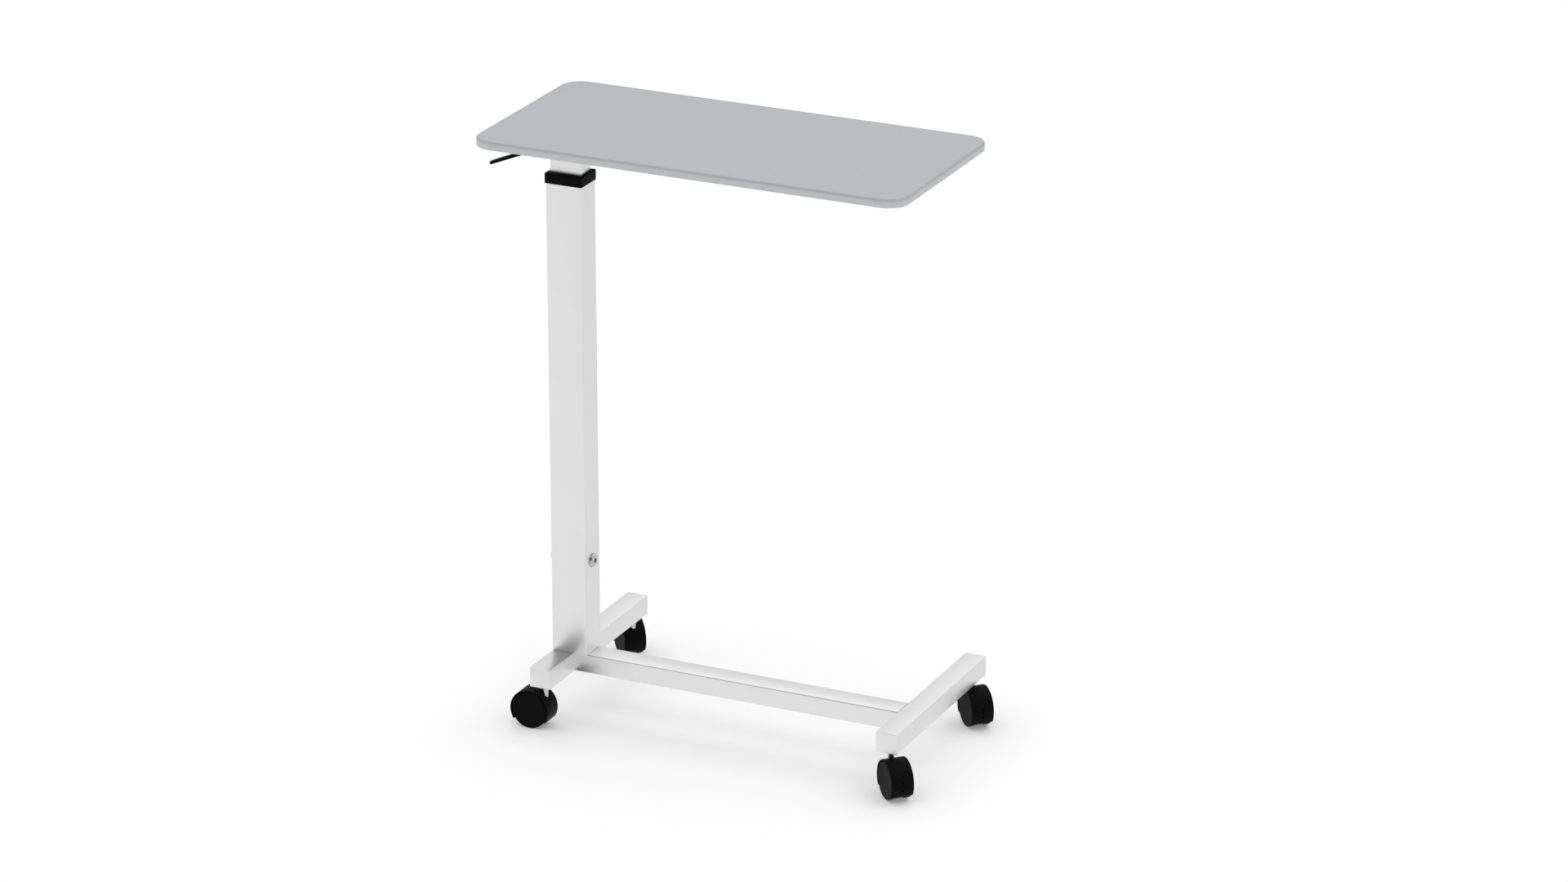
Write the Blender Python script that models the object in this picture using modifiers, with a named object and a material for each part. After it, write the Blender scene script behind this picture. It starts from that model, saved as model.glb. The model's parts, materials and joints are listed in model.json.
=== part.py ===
"""Overbed table: a laminated top on a gas-sprung telescopic column, which stands near the front of one
foot of an H-shaped base on four hooded twin-wheel casters.

Metres, +Z up. The floor is z = 0, the origin is the middle of the table's footprint, and the table's
front is towards -Y. The column is at the -X end.
"""

import math

import bmesh
import bpy
from mathutils import Matrix, Vector

# Clearances
GAP = 0.0003
WELD = 0.00001

# Base
BASE_LENGTH = 0.623
BASE_CENTRE_X = 0.0375
FOOT_LENGTH = 0.340
FOOT_WIDTH = 0.035
FOOT_HEIGHT = 0.0325
BEAM_WIDTH = 0.040
BEAM_HEIGHT = 0.031
TUBE_WALL = 0.002
TUBE_EDGE = 0.0015
CAP_THICKNESS = 0.0025
CAP_PLUG_DEPTH = 0.006
CAP_PLUG_EDGE = 0.0008

# Casters
WHEEL_RADIUS = 0.030
WHEEL_INNER_FACE = 0.0086
WHEEL_OUTER_FACE = 0.0176
WHEEL_DISC = 0.0032
TREAD_DEPTH = 0.0045
TREAD_EDGE = 0.0010
HUB_RADIUS = 0.006
HUB_CLEARANCE = 0.0006
AXLE_RADIUS = 0.003
AXLE_END_COVER = 0.0030
HOOD_WALL = 0.0017
HOOD_CLEARANCE = 0.0010
HOOD_RIM = 0.0005
HOOD_SKIRT_ANGLE = math.radians(32)
HOOD_TO_FOOT = 0.0083
HOOD_JOIN = 0.0008
WEB_SETBACK = math.radians(2)
WEB_THICKNESS = 0.008
BELLY_DEPTH = 0.0022
BELLY_CLEARANCE = 0.0004
HUB_WELL_CLEARANCE = 0.0015
STEM_RADIUS = 0.005
STEM_IN_FOOT = 0.024
STEM_BOSS_RADIUS = 0.008
STEM_BOSS_TOP = 0.046
STEM_BOSS_BOTTOM = 0.024
STEM_BOSS_FLOOR = 0.003
CASTER_TRAIL = 0.020
CASTER_INSET = 0.017
SOCKET_RADIUS = 0.007
REAR_HOLE_RADIUS = 0.0016
REAR_HOLE_DEPTH = 0.0025
REAR_HOLE_ANGLE = math.radians(12)

# Column
COLUMN_WIDTH = 0.060
COLUMN_DEPTH = 0.048
COLUMN_LENGTH = 0.778
COLUMN_Y = -0.0685
COLUMN_EDGE = 0.0018
INNER_WIDTH = 0.0525
INNER_DEPTH = 0.033
REST_EXTENSION = 0.045
LIFT_UP = 0.260
COLLAR_WALL = 0.0011
COLLAR_SKIRT = 0.0128
COLLAR_LID = 0.0033
COLLAR_SLEEVE = 0.040
GUIDE_HEIGHT = 0.034
GUIDE_FLOOR = 0.004
GUIDE_CLEARANCE = 0.0008
GUIDE_OVER_BOLT = 0.0406

# Gas spring and its cross bolt
BOLT_HEIGHT = 0.152
BOLT_RADIUS = 0.005
BOLT_HEAD_RADIUS = 0.011
BOLT_HEAD_HEIGHT = 0.0045
BOLT_SOCKET_RADIUS = 0.0046
BOLT_SOCKET_DEPTH = 0.0025
BOLT_NUT_RADIUS = 0.0098
BOLT_NUT_HEIGHT = 0.008
BOLT_END = 0.0015
SPACER_RADIUS = 0.008
SPRING_RADIUS = 0.011
SPRING_WALL = 0.0025
SPRING_GUIDE = 0.006
SPRING_BASE = 0.026
EYE_RADIUS = 0.010
EYE_WIDTH = 0.012
EYE_TO_BODY = 0.018
EYE_NECK_RADIUS = 0.0055
ROD_RADIUS = 0.005
ROD_EXPOSED = 0.0729
ROD_THREAD_RADIUS = 0.004
ROD_THREAD_LENGTH = 0.0062
PISTON_HEIGHT = 0.015
ROD_NUT_RADIUS = 0.0075
ROD_NUT_HEIGHT = 0.005

# Release gear under the top
BRACKET_LENGTH = 0.044
BRACKET_WIDTH = 0.022
BRACKET_HEIGHT = 0.028
BRACKET_WALL = 0.003
PIN_RADIUS = 0.002
PIN_BORE_DEPTH = 0.020
PIN_TRAVEL = 0.0030
NOSE_GAP = 0.0004
PIVOT_DROP = 0.0117
PIVOT_ARM = 0.017
PIVOT_PIN_RADIUS = 0.0025
PIVOT_PIN_LENGTH = 0.024
LEVER_NOSE = 0.0195
LEVER_ROOT_THICKNESS = 0.007
LEVER_TIP_THICKNESS = 0.0045
LEVER_ROOT_WIDTH = 0.012
LEVER_TIP_WIDTH = 0.016
LEVER_STRAIGHT = 0.018
LEVER_BEND_RADIUS = 0.040
LEVER_DROOP = math.radians(22.7)
LEVER_BLADE = 0.0916
LEVER_SLOT_MARGIN = 0.002
LEVER_SLOT_RISE = 0.004

# Top
TOP_LENGTH = 0.711
TOP_WIDTH = 0.339
TOP_THICKNESS = 0.014
TOP_CORNER = 0.034
TOP_OVERHANG = 0.1195
BAND_THICKNESS = 0.003
BAND_ROUND = 0.0027
PLATE_LENGTH = 0.160
PLATE_WIDTH = 0.190
PLATE_THICKNESS = 0.004
PLATE_OVERHANG = 0.045
PLATE_CORNER = 0.006
PLATE_SCREW_INSET = 0.008
RAIL_LENGTH = 0.480
RAIL_WIDTH = 0.025
RAIL_HEIGHT = 0.015
RAIL_WALL = 0.0015
RAIL_EDGE = 0.0010
RAIL_SCREW_INSET = 0.020
SCREW_RADIUS = 0.0020
SCREW_BITE = 0.0085
SCREW_HEAD_RADIUS = 0.0042
SCREW_HEAD_HEIGHT = 0.0024

# Mesh fineness
EDGE_STEPS = 2
ARC_STEPS = 4
BLADE_STEPS = 4
SMALL_STEPS = 12
TOP_ARC_STEPS = 8
HOOD_STEPS = 20
WHEEL_STEPS = 28
ROUND_STEPS = 16

# Derived places
HOOD_INNER = WHEEL_RADIUS + HOOD_CLEARANCE
HOOD_RADIUS = HOOD_INNER + HOOD_WALL
HOOD_HALF_WIDTH = WHEEL_OUTER_FACE + HOOD_RIM
FOOT_BOTTOM = WHEEL_RADIUS + HOOD_RADIUS + HOOD_TO_FOOT
BASE_TOP = FOOT_BOTTOM + FOOT_HEIGHT
COLUMN_X = BASE_CENTRE_X - BASE_LENGTH / 2 + COLUMN_WIDTH / 2
COLUMN_TOP = BASE_TOP + GAP + COLUMN_LENGTH
COLLAR_TOP = COLUMN_TOP + GAP + COLLAR_LID
INNER_TOP = COLLAR_TOP + REST_EXTENSION
PLATE_BOTTOM = INNER_TOP + GAP
BOARD_BOTTOM = PLATE_BOTTOM + PLATE_THICKNESS + GAP
TOP_HEIGHT = BOARD_BOTTOM + TOP_THICKNESS
BOLT_Z = BASE_TOP + BOLT_HEIGHT
INNER_BOTTOM = BOLT_Z + GUIDE_OVER_BOLT + GUIDE_FLOOR + GAP
INNER_LENGTH = INNER_TOP - INNER_BOTTOM
BRACKET_BOTTOM = PLATE_BOTTOM - GAP - BRACKET_HEIGHT
SPRING_BOTTOM = BOLT_Z + EYE_TO_BODY
SPRING_TOP = BRACKET_BOTTOM - ROD_EXPOSED
SPRING_LENGTH = SPRING_TOP - SPRING_BOTTOM
TOP_CENTRE_X = COLUMN_X - TOP_OVERHANG + TOP_LENGTH / 2
PIVOT_Z = PLATE_BOTTOM - PIVOT_DROP
RAIL_Y = PLATE_WIDTH / 2 + GAP + RAIL_WIDTH / 2
COLUMN_BORE_WIDTH = COLUMN_WIDTH - 2 * TUBE_WALL
COLUMN_BORE_DEPTH = COLUMN_DEPTH - 2 * TUBE_WALL

QUARTER = math.pi / 2
ALONG_X = (QUARTER, 0, QUARTER)
ALONG_Y = (QUARTER, 0, 0)

# Each finish: base colour, roughness, metallic
FINISHES = {
    "laminate_grey": ((0.49, 0.50, 0.51), 0.55, 0.0),
    "band_grey": ((0.50, 0.51, 0.51), 0.45, 0.0),
    "silver_paint": ((0.76, 0.76, 0.77), 0.35, 0.3),
    "zinc_steel": ((0.62, 0.62, 0.63), 0.3, 1.0),
    "dark_steel": ((0.18, 0.18, 0.19), 0.4, 1.0),
    "black_plastic": ((0.010, 0.010, 0.011), 0.45, 0.0),
    "tread_black": ((0.016, 0.016, 0.017), 0.6, 0.0),
    "grey_plastic": ((0.72, 0.72, 0.73), 0.5, 0.0),
}

parts = None


def clear_scene():
    for obj in list(bpy.data.objects):
        bpy.data.objects.remove(obj)


def finish(name):
    material = bpy.data.materials.get(name)
    if material is None:
        colour, roughness, metallic = FINISHES[name]
        material = bpy.data.materials.new(name)
        material.use_nodes = True
        shader = material.node_tree.nodes["Principled BSDF"]
        shader.inputs["Base Color"].default_value = (*colour, 1)
        shader.inputs["Roughness"].default_value = roughness
        shader.inputs["Metallic"].default_value = metallic
    return material


def linked(name, data):
    obj = bpy.data.objects.new(name, data)
    parts.objects.link(obj)
    return obj


def empty(name, at, heading=0.0):
    obj = linked(name, None)
    obj.location = at
    obj.rotation_euler = (0, 0, heading)
    return obj


def node(name, mesh, finish_name, at=(0, 0, 0), turn=(0, 0, 0), parent=None):
    """Places a mesh as a named sub-part. Copies of one piece share its mesh."""
    if not mesh.materials:
        mesh.materials.append(finish(finish_name))
        mesh.shade_smooth()
        mesh.set_sharp_from_angle(angle=math.radians(35))
    obj = linked(name, mesh)
    obj.location = at
    obj.rotation_euler = turn
    obj.parent = parent
    return obj


def baked(obj):
    """The object's evaluated mesh, welded and facing out. The object itself is removed."""
    bpy.context.view_layer.update()
    graph = bpy.context.evaluated_depsgraph_get()
    mesh = bpy.data.meshes.new_from_object(obj.evaluated_get(graph))
    bpy.data.objects.remove(obj)
    shape = bmesh.new()
    shape.from_mesh(mesh)
    bmesh.ops.remove_doubles(shape, verts=shape.verts, dist=WELD)
    bmesh.ops.recalc_face_normals(shape, faces=shape.faces)
    shape.to_mesh(mesh)
    shape.free()
    return mesh


def combined(mesh, other, operation):
    """A Boolean of two meshes that share one frame."""
    target = linked("target", mesh)
    tool = linked("tool", other)
    modifier = target.modifiers.new("combine", "BOOLEAN")
    modifier.operation = operation
    modifier.object = tool
    result = baked(target)
    bpy.data.objects.remove(tool)
    return result


def cut(mesh, *tools):
    for tool in tools:
        mesh = combined(mesh, tool, "DIFFERENCE")
    return mesh


def joined(mesh, *others):
    for other in others:
        mesh = combined(mesh, other, "UNION")
    return mesh


def moved(mesh, at=(0, 0, 0), turn=(0, 0, 0)):
    x, y, z = (Matrix.Rotation(angle, 4, axis) for angle, axis in zip(turn, "XYZ"))
    mesh.transform(Matrix.Translation(at) @ z @ y @ x)
    return mesh


def arc(centre, radius, start, end, steps):
    """Points along an arc, both ends included."""
    angles = [start + (end - start) * i / steps for i in range(steps + 1)]
    return [(centre[0] + radius * math.cos(a), centre[1] + radius * math.sin(a)) for a in angles]


def rounded_rectangle(width, depth, radius, steps=EDGE_STEPS):
    points = []
    for quarter, (sx, sy) in enumerate(((1, 1), (-1, 1), (-1, -1), (1, -1))):
        centre = (sx * (width / 2 - radius), sy * (depth / 2 - radius))
        points += arc(centre, radius, quarter * QUARTER, (quarter + 1) * QUARTER, steps)
    return points


def circle(radius, centre=(0, 0), steps=ROUND_STEPS):
    return arc(centre, radius, 0, 2 * math.pi * (1 - 1 / steps), steps - 1)


def extruded(loops, height):
    """A mesh of flat outlines, the first round the shape and the rest its holes, from z = 0 up."""
    curve = bpy.data.curves.new("outline", "CURVE")
    curve.dimensions = "2D"
    curve.fill_mode = "BOTH"
    curve.extrude = height / 2
    for loop in loops:
        spline = curve.splines.new("POLY")
        spline.points.add(len(loop) - 1)
        for point, (x, y) in zip(spline.points, loop):
            point.co = (x, y, 0, 1)
        spline.use_cyclic_u = True
    return moved(baked(linked("outline", curve)), (0, 0, height / 2))


def turned(profile, steps=ROUND_STEPS):
    """A mesh of revolution about Z. The profile is (radius, height) points."""
    mesh = bpy.data.meshes.new("profile")
    edges = [(i, i + 1) for i in range(len(profile) - 1)]
    mesh.from_pydata([(radius, 0, z) for radius, z in profile], edges, [])
    obj = linked("profile", mesh)
    screw = obj.modifiers.new("turn", "SCREW")
    screw.steps = steps
    screw.render_steps = steps
    screw.use_merge_vertices = True
    screw.merge_threshold = WELD
    return baked(obj)


def block(width, depth, height, at=(0, 0, 0)):
    """A box whose bottom's middle is at the given place."""
    shape = bmesh.new()
    size = Matrix.Diagonal((width, depth, height, 1))
    middle = Matrix.Translation(Vector(at) + Vector((0, 0, height / 2)))
    bmesh.ops.create_cube(shape, size=1, matrix=middle @ size)
    mesh = bpy.data.meshes.new("block")
    shape.to_mesh(mesh)
    shape.free()
    return mesh


def drum(radius, length, steps=ROUND_STEPS, hole=0.0):
    """A plain cylinder, prism or sleeve along Z from z = 0."""
    loops = [circle(radius, steps=steps)]
    if hole:
        loops.append(circle(hole))
    return extruded(loops, length)


def rectangular_tube(width, depth, length, wall, edge):
    """A tube along Z from z = 0, with rounded long edges."""
    outer = rounded_rectangle(width, depth, edge)
    inner = rounded_rectangle(width - 2 * wall, depth - 2 * wall, edge / 2)
    return extruded([outer, inner], length)


def bevelled(mesh, width, segments):
    obj = linked("bevelled", mesh)
    bevel = obj.modifiers.new("round", "BEVEL")
    bevel.width = width
    bevel.segments = segments
    bevel.limit_method = "ANGLE"
    bevel.angle_limit = math.radians(60)
    return baked(obj)


def corners():
    """Name, foot centre and end of each corner of the base, and the way its caster trails."""
    reach = (BASE_LENGTH - FOOT_WIDTH) / 2
    return (
        ("front_left", BASE_CENTRE_X - reach, -1, math.radians(180)),
        ("front_right", BASE_CENTRE_X + reach, -1, math.radians(-45)),
        ("rear_right", BASE_CENTRE_X + reach, 1, math.radians(-45)),
        ("rear_left", BASE_CENTRE_X - reach, 1, math.radians(135)),
    )


def foot_mesh():
    """A foot along Z from z = 0, open at both ends, with a hole in its underside for each caster socket."""
    length = FOOT_LENGTH - 2 * (CAP_THICKNESS + GAP)
    mesh = rectangular_tube(FOOT_WIDTH, FOOT_HEIGHT, length, TUBE_WALL, TUBE_EDGE)
    reach = FOOT_LENGTH / 2 - CASTER_INSET
    for side in (-1, 1):
        hole = drum(SOCKET_RADIUS + GAP, 2 * TUBE_WALL)
        place = (0, -FOOT_HEIGHT / 2 + TUBE_WALL * 1.5, length / 2 + side * reach)
        mesh = cut(mesh, moved(hole, place, (QUARTER, 0, 0)))
    return mesh


def cap_mesh():
    """A foot's end cap: a plate on the tube's end, with a plug that goes into the tube."""
    plate = extruded([rounded_rectangle(FOOT_WIDTH, FOOT_HEIGHT, TUBE_EDGE)], CAP_THICKNESS)
    plug_width = FOOT_WIDTH - 2 * (TUBE_WALL + GAP)
    plug_height = FOOT_HEIGHT - 2 * (TUBE_WALL + GAP)
    plug_outline = rounded_rectangle(plug_width, plug_height, CAP_PLUG_EDGE)
    plug = extruded([plug_outline], CAP_PLUG_DEPTH + CAP_THICKNESS / 2)
    return joined(plate, moved(plug, (0, 0, -CAP_PLUG_DEPTH)))


def build_base():
    foot_z = FOOT_BOTTOM + FOOT_HEIGHT / 2
    tube_start = FOOT_LENGTH / 2 - CAP_THICKNESS - GAP
    foot = foot_mesh()
    cap = cap_mesh()
    reach = (BASE_LENGTH - FOOT_WIDTH) / 2
    for side, sign in (("left", -1), ("right", 1)):
        x = BASE_CENTRE_X + sign * reach
        node(f"{side}_foot", foot, "silver_paint", (x, tube_start, foot_z), ALONG_Y)
        cap_y = FOOT_LENGTH / 2 - CAP_THICKNESS
        node(f"{side}_foot_front_cap", cap, "silver_paint", (x, -cap_y, foot_z), ALONG_Y)
        node(f"{side}_foot_rear_cap", cap, "silver_paint", (x, cap_y, foot_z), (-QUARTER, 0, 0))
    beam_length = BASE_LENGTH - 2 * (FOOT_WIDTH + GAP)
    beam = rectangular_tube(BEAM_WIDTH, BEAM_HEIGHT, beam_length, TUBE_WALL, TUBE_EDGE)
    beam_at = (BASE_CENTRE_X - beam_length / 2, COLUMN_Y, BASE_TOP - BEAM_HEIGHT / 2)
    node("cross_beam", beam, "silver_paint", beam_at, ALONG_X)


def build_outer_column():
    tube = rectangular_tube(COLUMN_WIDTH, COLUMN_DEPTH, COLUMN_LENGTH, TUBE_WALL, COLUMN_EDGE)
    bolt_hole = drum(BOLT_RADIUS + GAP, COLUMN_WIDTH * 2)
    hole_at = (-COLUMN_WIDTH, 0, BOLT_Z - BASE_TOP - GAP)
    tube = cut(tube, moved(bolt_hole, hole_at, ALONG_X))
    node("outer_column", tube, "silver_paint", (COLUMN_X, COLUMN_Y, BASE_TOP + GAP))


def build_collar():
    """The guide on the column's top: a skirt outside it, a lid, and a sleeve inside that guides the tube."""
    bore = (INNER_WIDTH + 2 * GAP, INNER_DEPTH + 2 * GAP)
    pocket = (COLUMN_WIDTH + 2 * GAP, COLUMN_DEPTH + 2 * GAP)
    outside = (pocket[0] + 2 * COLLAR_WALL, pocket[1] + 2 * COLLAR_WALL)
    sleeve_size = (COLUMN_BORE_WIDTH - 2 * GAP, COLUMN_BORE_DEPTH - 2 * GAP)
    cup_height = COLLAR_SKIRT + COLLAR_LID
    cup = moved(extruded([rounded_rectangle(*outside, COLUMN_EDGE)], cup_height), (0, 0, -COLLAR_SKIRT))
    hollow = moved(extruded([rounded_rectangle(*pocket, COLUMN_EDGE)], cup_height), (0, 0, -cup_height))
    sleeve_height = COLLAR_SLEEVE + COLLAR_LID / 2
    sleeve = extruded([rounded_rectangle(*sleeve_size, COLUMN_EDGE / 2)], sleeve_height)
    moved(sleeve, (0, 0, -COLLAR_SLEEVE))
    passage = extruded([rounded_rectangle(*bore, COLUMN_EDGE)], 2 * COLLAR_SLEEVE)
    moved(passage, (0, 0, -1.5 * COLLAR_SLEEVE))
    collar = cut(joined(cut(cup, hollow), sleeve), passage)
    node("column_collar", collar, "black_plastic", (COLUMN_X, COLUMN_Y, COLUMN_TOP + GAP))


def build_cross_bolt():
    """The bolt through the column that carries the gas spring's eye, with its nut and spacers."""
    half = COLUMN_WIDTH / 2
    under_head = half + GAP
    end = -half - GAP - BOLT_NUT_HEIGHT - BOLT_END
    dome = arc((0, 0), 1, 0, QUARTER, ARC_STEPS)
    head = [(BOLT_HEAD_RADIUS * x, under_head + BOLT_HEAD_HEIGHT * y) for x, y in dome]
    profile = head[::-1] + [(BOLT_RADIUS, under_head), (BOLT_RADIUS, end), (0, end)]
    profile[0] = (0, profile[0][1])
    bolt = turned(profile)
    socket = drum(BOLT_SOCKET_RADIUS, 2 * BOLT_SOCKET_DEPTH, steps=6)
    moved(socket, (0, 0, under_head + BOLT_HEAD_HEIGHT - BOLT_SOCKET_DEPTH))
    column_at = Vector((COLUMN_X, COLUMN_Y, BOLT_Z))
    node("cross_bolt", cut(bolt, socket), "zinc_steel", column_at, (0, QUARTER, 0))
    nut = drum(BOLT_NUT_RADIUS, BOLT_NUT_HEIGHT, steps=6, hole=BOLT_RADIUS + GAP)
    nut_at = column_at + Vector((-half - GAP - BOLT_NUT_HEIGHT, 0, 0))
    node("cross_bolt_nut", nut, "zinc_steel", nut_at, (0, QUARTER, 0))
    spacer_length = COLUMN_BORE_WIDTH / 2 - EYE_WIDTH / 2 - 2 * GAP
    spacer = drum(SPACER_RADIUS, spacer_length, hole=BOLT_RADIUS + GAP)
    for side, start in (("left", -COLUMN_BORE_WIDTH / 2 + GAP), ("right", EYE_WIDTH / 2 + GAP)):
        at = column_at + Vector((start, 0, 0))
        node(f"eye_spacer_{side}", spacer, "grey_plastic", at, (0, QUARTER, 0))


def build_gas_spring_cylinder():
    bore = SPRING_RADIUS - SPRING_WALL
    neck = ROD_RADIUS + GAP
    cavity_top = SPRING_LENGTH - SPRING_GUIDE
    body = turned(
        [
            (0, SPRING_BASE),
            (bore, SPRING_BASE),
            (bore, cavity_top),
            (neck, cavity_top),
            (neck, SPRING_LENGTH),
            (SPRING_RADIUS, SPRING_LENGTH),
            (SPRING_RADIUS, 0),
            (0, 0),
        ]
    )
    stalk = moved(drum(EYE_NECK_RADIUS, EYE_TO_BODY + SPRING_WALL), (0, 0, -EYE_TO_BODY))
    eye = moved(drum(EYE_RADIUS, EYE_WIDTH), (-EYE_WIDTH / 2, 0, -EYE_TO_BODY), ALONG_X)
    hole = moved(drum(BOLT_RADIUS + GAP, 2 * EYE_WIDTH), (-EYE_WIDTH, 0, -EYE_TO_BODY), ALONG_X)
    mesh = cut(joined(body, stalk, eye), hole)
    node("gas_spring_cylinder", mesh, "dark_steel", (COLUMN_X, COLUMN_Y, SPRING_BOTTOM))


def build_gas_spring_rod(lift):
    """The rod with its piston below and its thread above, bored for the release pin."""
    shoulder = BRACKET_BOTTOM - GAP
    thread_top = shoulder + GAP + BRACKET_WALL + ROD_THREAD_LENGTH
    piston_top = SPRING_TOP - SPRING_GUIDE - LIFT_UP - GAP
    piston_radius = SPRING_RADIUS - SPRING_WALL - GAP
    pin_bore = PIN_RADIUS + GAP
    bore_bottom = thread_top - PIN_BORE_DEPTH
    rod = turned(
        [
            (0, bore_bottom),
            (pin_bore, bore_bottom),
            (pin_bore, thread_top),
            (ROD_THREAD_RADIUS, thread_top),
            (ROD_THREAD_RADIUS, shoulder),
            (ROD_RADIUS, shoulder),
            (ROD_RADIUS, piston_top),
            (piston_radius, piston_top),
            (piston_radius, piston_top - PISTON_HEIGHT),
            (0, piston_top - PISTON_HEIGHT),
        ]
    )
    node("gas_spring_rod", rod, "zinc_steel", parent=lift)
    pin_top = PIVOT_Z - LEVER_ROOT_THICKNESS / 2 - NOSE_GAP
    pin_bottom = bore_bottom + PIN_TRAVEL
    pin = drum(PIN_RADIUS, pin_top - pin_bottom)
    node("release_pin", pin, "zinc_steel", (0, 0, pin_bottom), parent=lift)
    nut = drum(ROD_NUT_RADIUS, ROD_NUT_HEIGHT, steps=6, hole=ROD_THREAD_RADIUS + GAP)
    node("rod_nut", nut, "zinc_steel", (0, 0, BRACKET_BOTTOM + BRACKET_WALL + GAP), parent=lift)


def build_release_bracket(lift):
    """A channel under the mount plate. Its floor holds the rod, and its cheeks hold the lever's pivot pin."""
    half = BRACKET_WIDTH / 2
    inner = half - BRACKET_WALL
    outline = [
        (-half, 0),
        (half, 0),
        (half, BRACKET_HEIGHT),
        (inner, BRACKET_HEIGHT),
        (inner, BRACKET_WALL),
        (-inner, BRACKET_WALL),
        (-inner, BRACKET_HEIGHT),
        (-half, BRACKET_HEIGHT),
    ]
    channel = moved(extruded([outline], BRACKET_LENGTH), (-BRACKET_LENGTH / 2, 0, 0), ALONG_X)
    rod_hole = moved(drum(ROD_THREAD_RADIUS + GAP, 3 * BRACKET_WALL), (0, 0, -BRACKET_WALL))
    pivot_hole = drum(PIVOT_PIN_RADIUS + GAP, 2 * BRACKET_WIDTH)
    moved(pivot_hole, (-PIVOT_ARM, BRACKET_WIDTH, PIVOT_Z - BRACKET_BOTTOM), ALONG_Y)
    bracket = cut(channel, rod_hole, pivot_hole)
    node("release_bracket", bracket, "dark_steel", (0, 0, BRACKET_BOTTOM), parent=lift)
    pin = drum(PIVOT_PIN_RADIUS, PIVOT_PIN_LENGTH)
    pin_at = (-PIVOT_ARM, PIVOT_PIN_LENGTH / 2, PIVOT_Z)
    node("lever_pivot_pin", pin, "zinc_steel", pin_at, ALONG_Y, lift)


def lever_outline():
    """Side view of the lever, its pivot at the origin: straight root, bend and drooping, tapering blade."""
    bend_centre = (-LEVER_STRAIGHT, -LEVER_BEND_RADIUS)
    bend = arc(bend_centre, LEVER_BEND_RADIUS, QUARTER, QUARTER + LEVER_DROOP, ARC_STEPS)
    along = Vector((-math.cos(LEVER_DROOP), -math.sin(LEVER_DROOP)))
    blade = [Vector(bend[-1]) + along * LEVER_BLADE * i / BLADE_STEPS for i in range(1, BLADE_STEPS + 1)]
    middle = [Vector((LEVER_NOSE, 0))] + [Vector(point) for point in bend] + blade
    reach = middle[-1].x - LEVER_NOSE
    upper = []
    lower = []
    for i, point in enumerate(middle):
        ahead = middle[min(i + 1, len(middle) - 1)]
        behind = middle[max(i - 1, 0)]
        direction = (ahead - behind).normalized()
        share = (point.x - LEVER_NOSE) / reach
        thickness = LEVER_ROOT_THICKNESS + (LEVER_TIP_THICKNESS - LEVER_ROOT_THICKNESS) * share
        normal = Vector((direction.y, -direction.x)) * thickness / 2
        upper.append(tuple(point + normal))
        lower.append(tuple(point - normal))
    tip_angle = math.atan2(upper[-1][1] - middle[-1].y, upper[-1][0] - middle[-1].x)
    tip = arc(middle[-1], LEVER_TIP_THICKNESS / 2, tip_angle, tip_angle + math.pi, ARC_STEPS)
    return upper[:-1] + tip + lower[-2::-1]


def build_lever(lift):
    outline = lever_outline()
    pivot_hole = circle(PIVOT_PIN_RADIUS + GAP)
    lever = moved(extruded([outline, pivot_hole], LEVER_ROOT_WIDTH), (0, LEVER_ROOT_WIDTH / 2, 0), ALONG_Y)
    tip_x = min(x for x, z in outline)
    for vertex in lever.vertices:
        share = max(0, (-vertex.co.x - LEVER_STRAIGHT) / (-tip_x - LEVER_STRAIGHT))
        vertex.co.y *= 1 + (LEVER_TIP_WIDTH / LEVER_ROOT_WIDTH - 1) * share
    node("release_lever", lever, "black_plastic", (-PIVOT_ARM, 0, PIVOT_Z), parent=lift)


def build_inner_column(lift):
    """The sliding tube, with the lever's slot in its left wall, and the guide on its lower end."""
    tube = rectangular_tube(INNER_WIDTH, INNER_DEPTH, INNER_LENGTH, TUBE_WALL, COLUMN_EDGE)
    slot_width = LEVER_ROOT_WIDTH + 2 * LEVER_SLOT_MARGIN
    slot_low = PIVOT_Z - LEVER_ROOT_THICKNESS / 2 - LEVER_SLOT_MARGIN - INNER_BOTTOM
    slot_height = LEVER_ROOT_THICKNESS + 2 * LEVER_SLOT_MARGIN + LEVER_SLOT_RISE
    slot = block(4 * TUBE_WALL, slot_width, slot_height, (-INNER_WIDTH / 2, 0, slot_low))
    node("inner_column", cut(tube, slot), "silver_paint", (0, 0, INNER_BOTTOM), parent=lift)
    outside = (COLUMN_BORE_WIDTH - 2 * GAP, COLUMN_BORE_DEPTH - 2 * GAP)
    pocket = (INNER_WIDTH + 2 * GAP, INNER_DEPTH + 2 * GAP)
    guide = extruded([rounded_rectangle(*outside, COLUMN_EDGE / 2)], GUIDE_HEIGHT)
    hollow = moved(extruded([rounded_rectangle(*pocket, COLUMN_EDGE)], GUIDE_HEIGHT), (0, 0, GUIDE_FLOOR))
    spring_hole = drum(SPRING_RADIUS + GUIDE_CLEARANCE, 3 * GUIDE_FLOOR)
    moved(spring_hole, (0, 0, -GUIDE_FLOOR))
    guide = cut(guide, hollow, spring_hole)
    guide_bottom = INNER_BOTTOM - GAP - GUIDE_FLOOR
    node("lower_guide", guide, "grey_plastic", (0, 0, guide_bottom), parent=lift)


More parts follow.
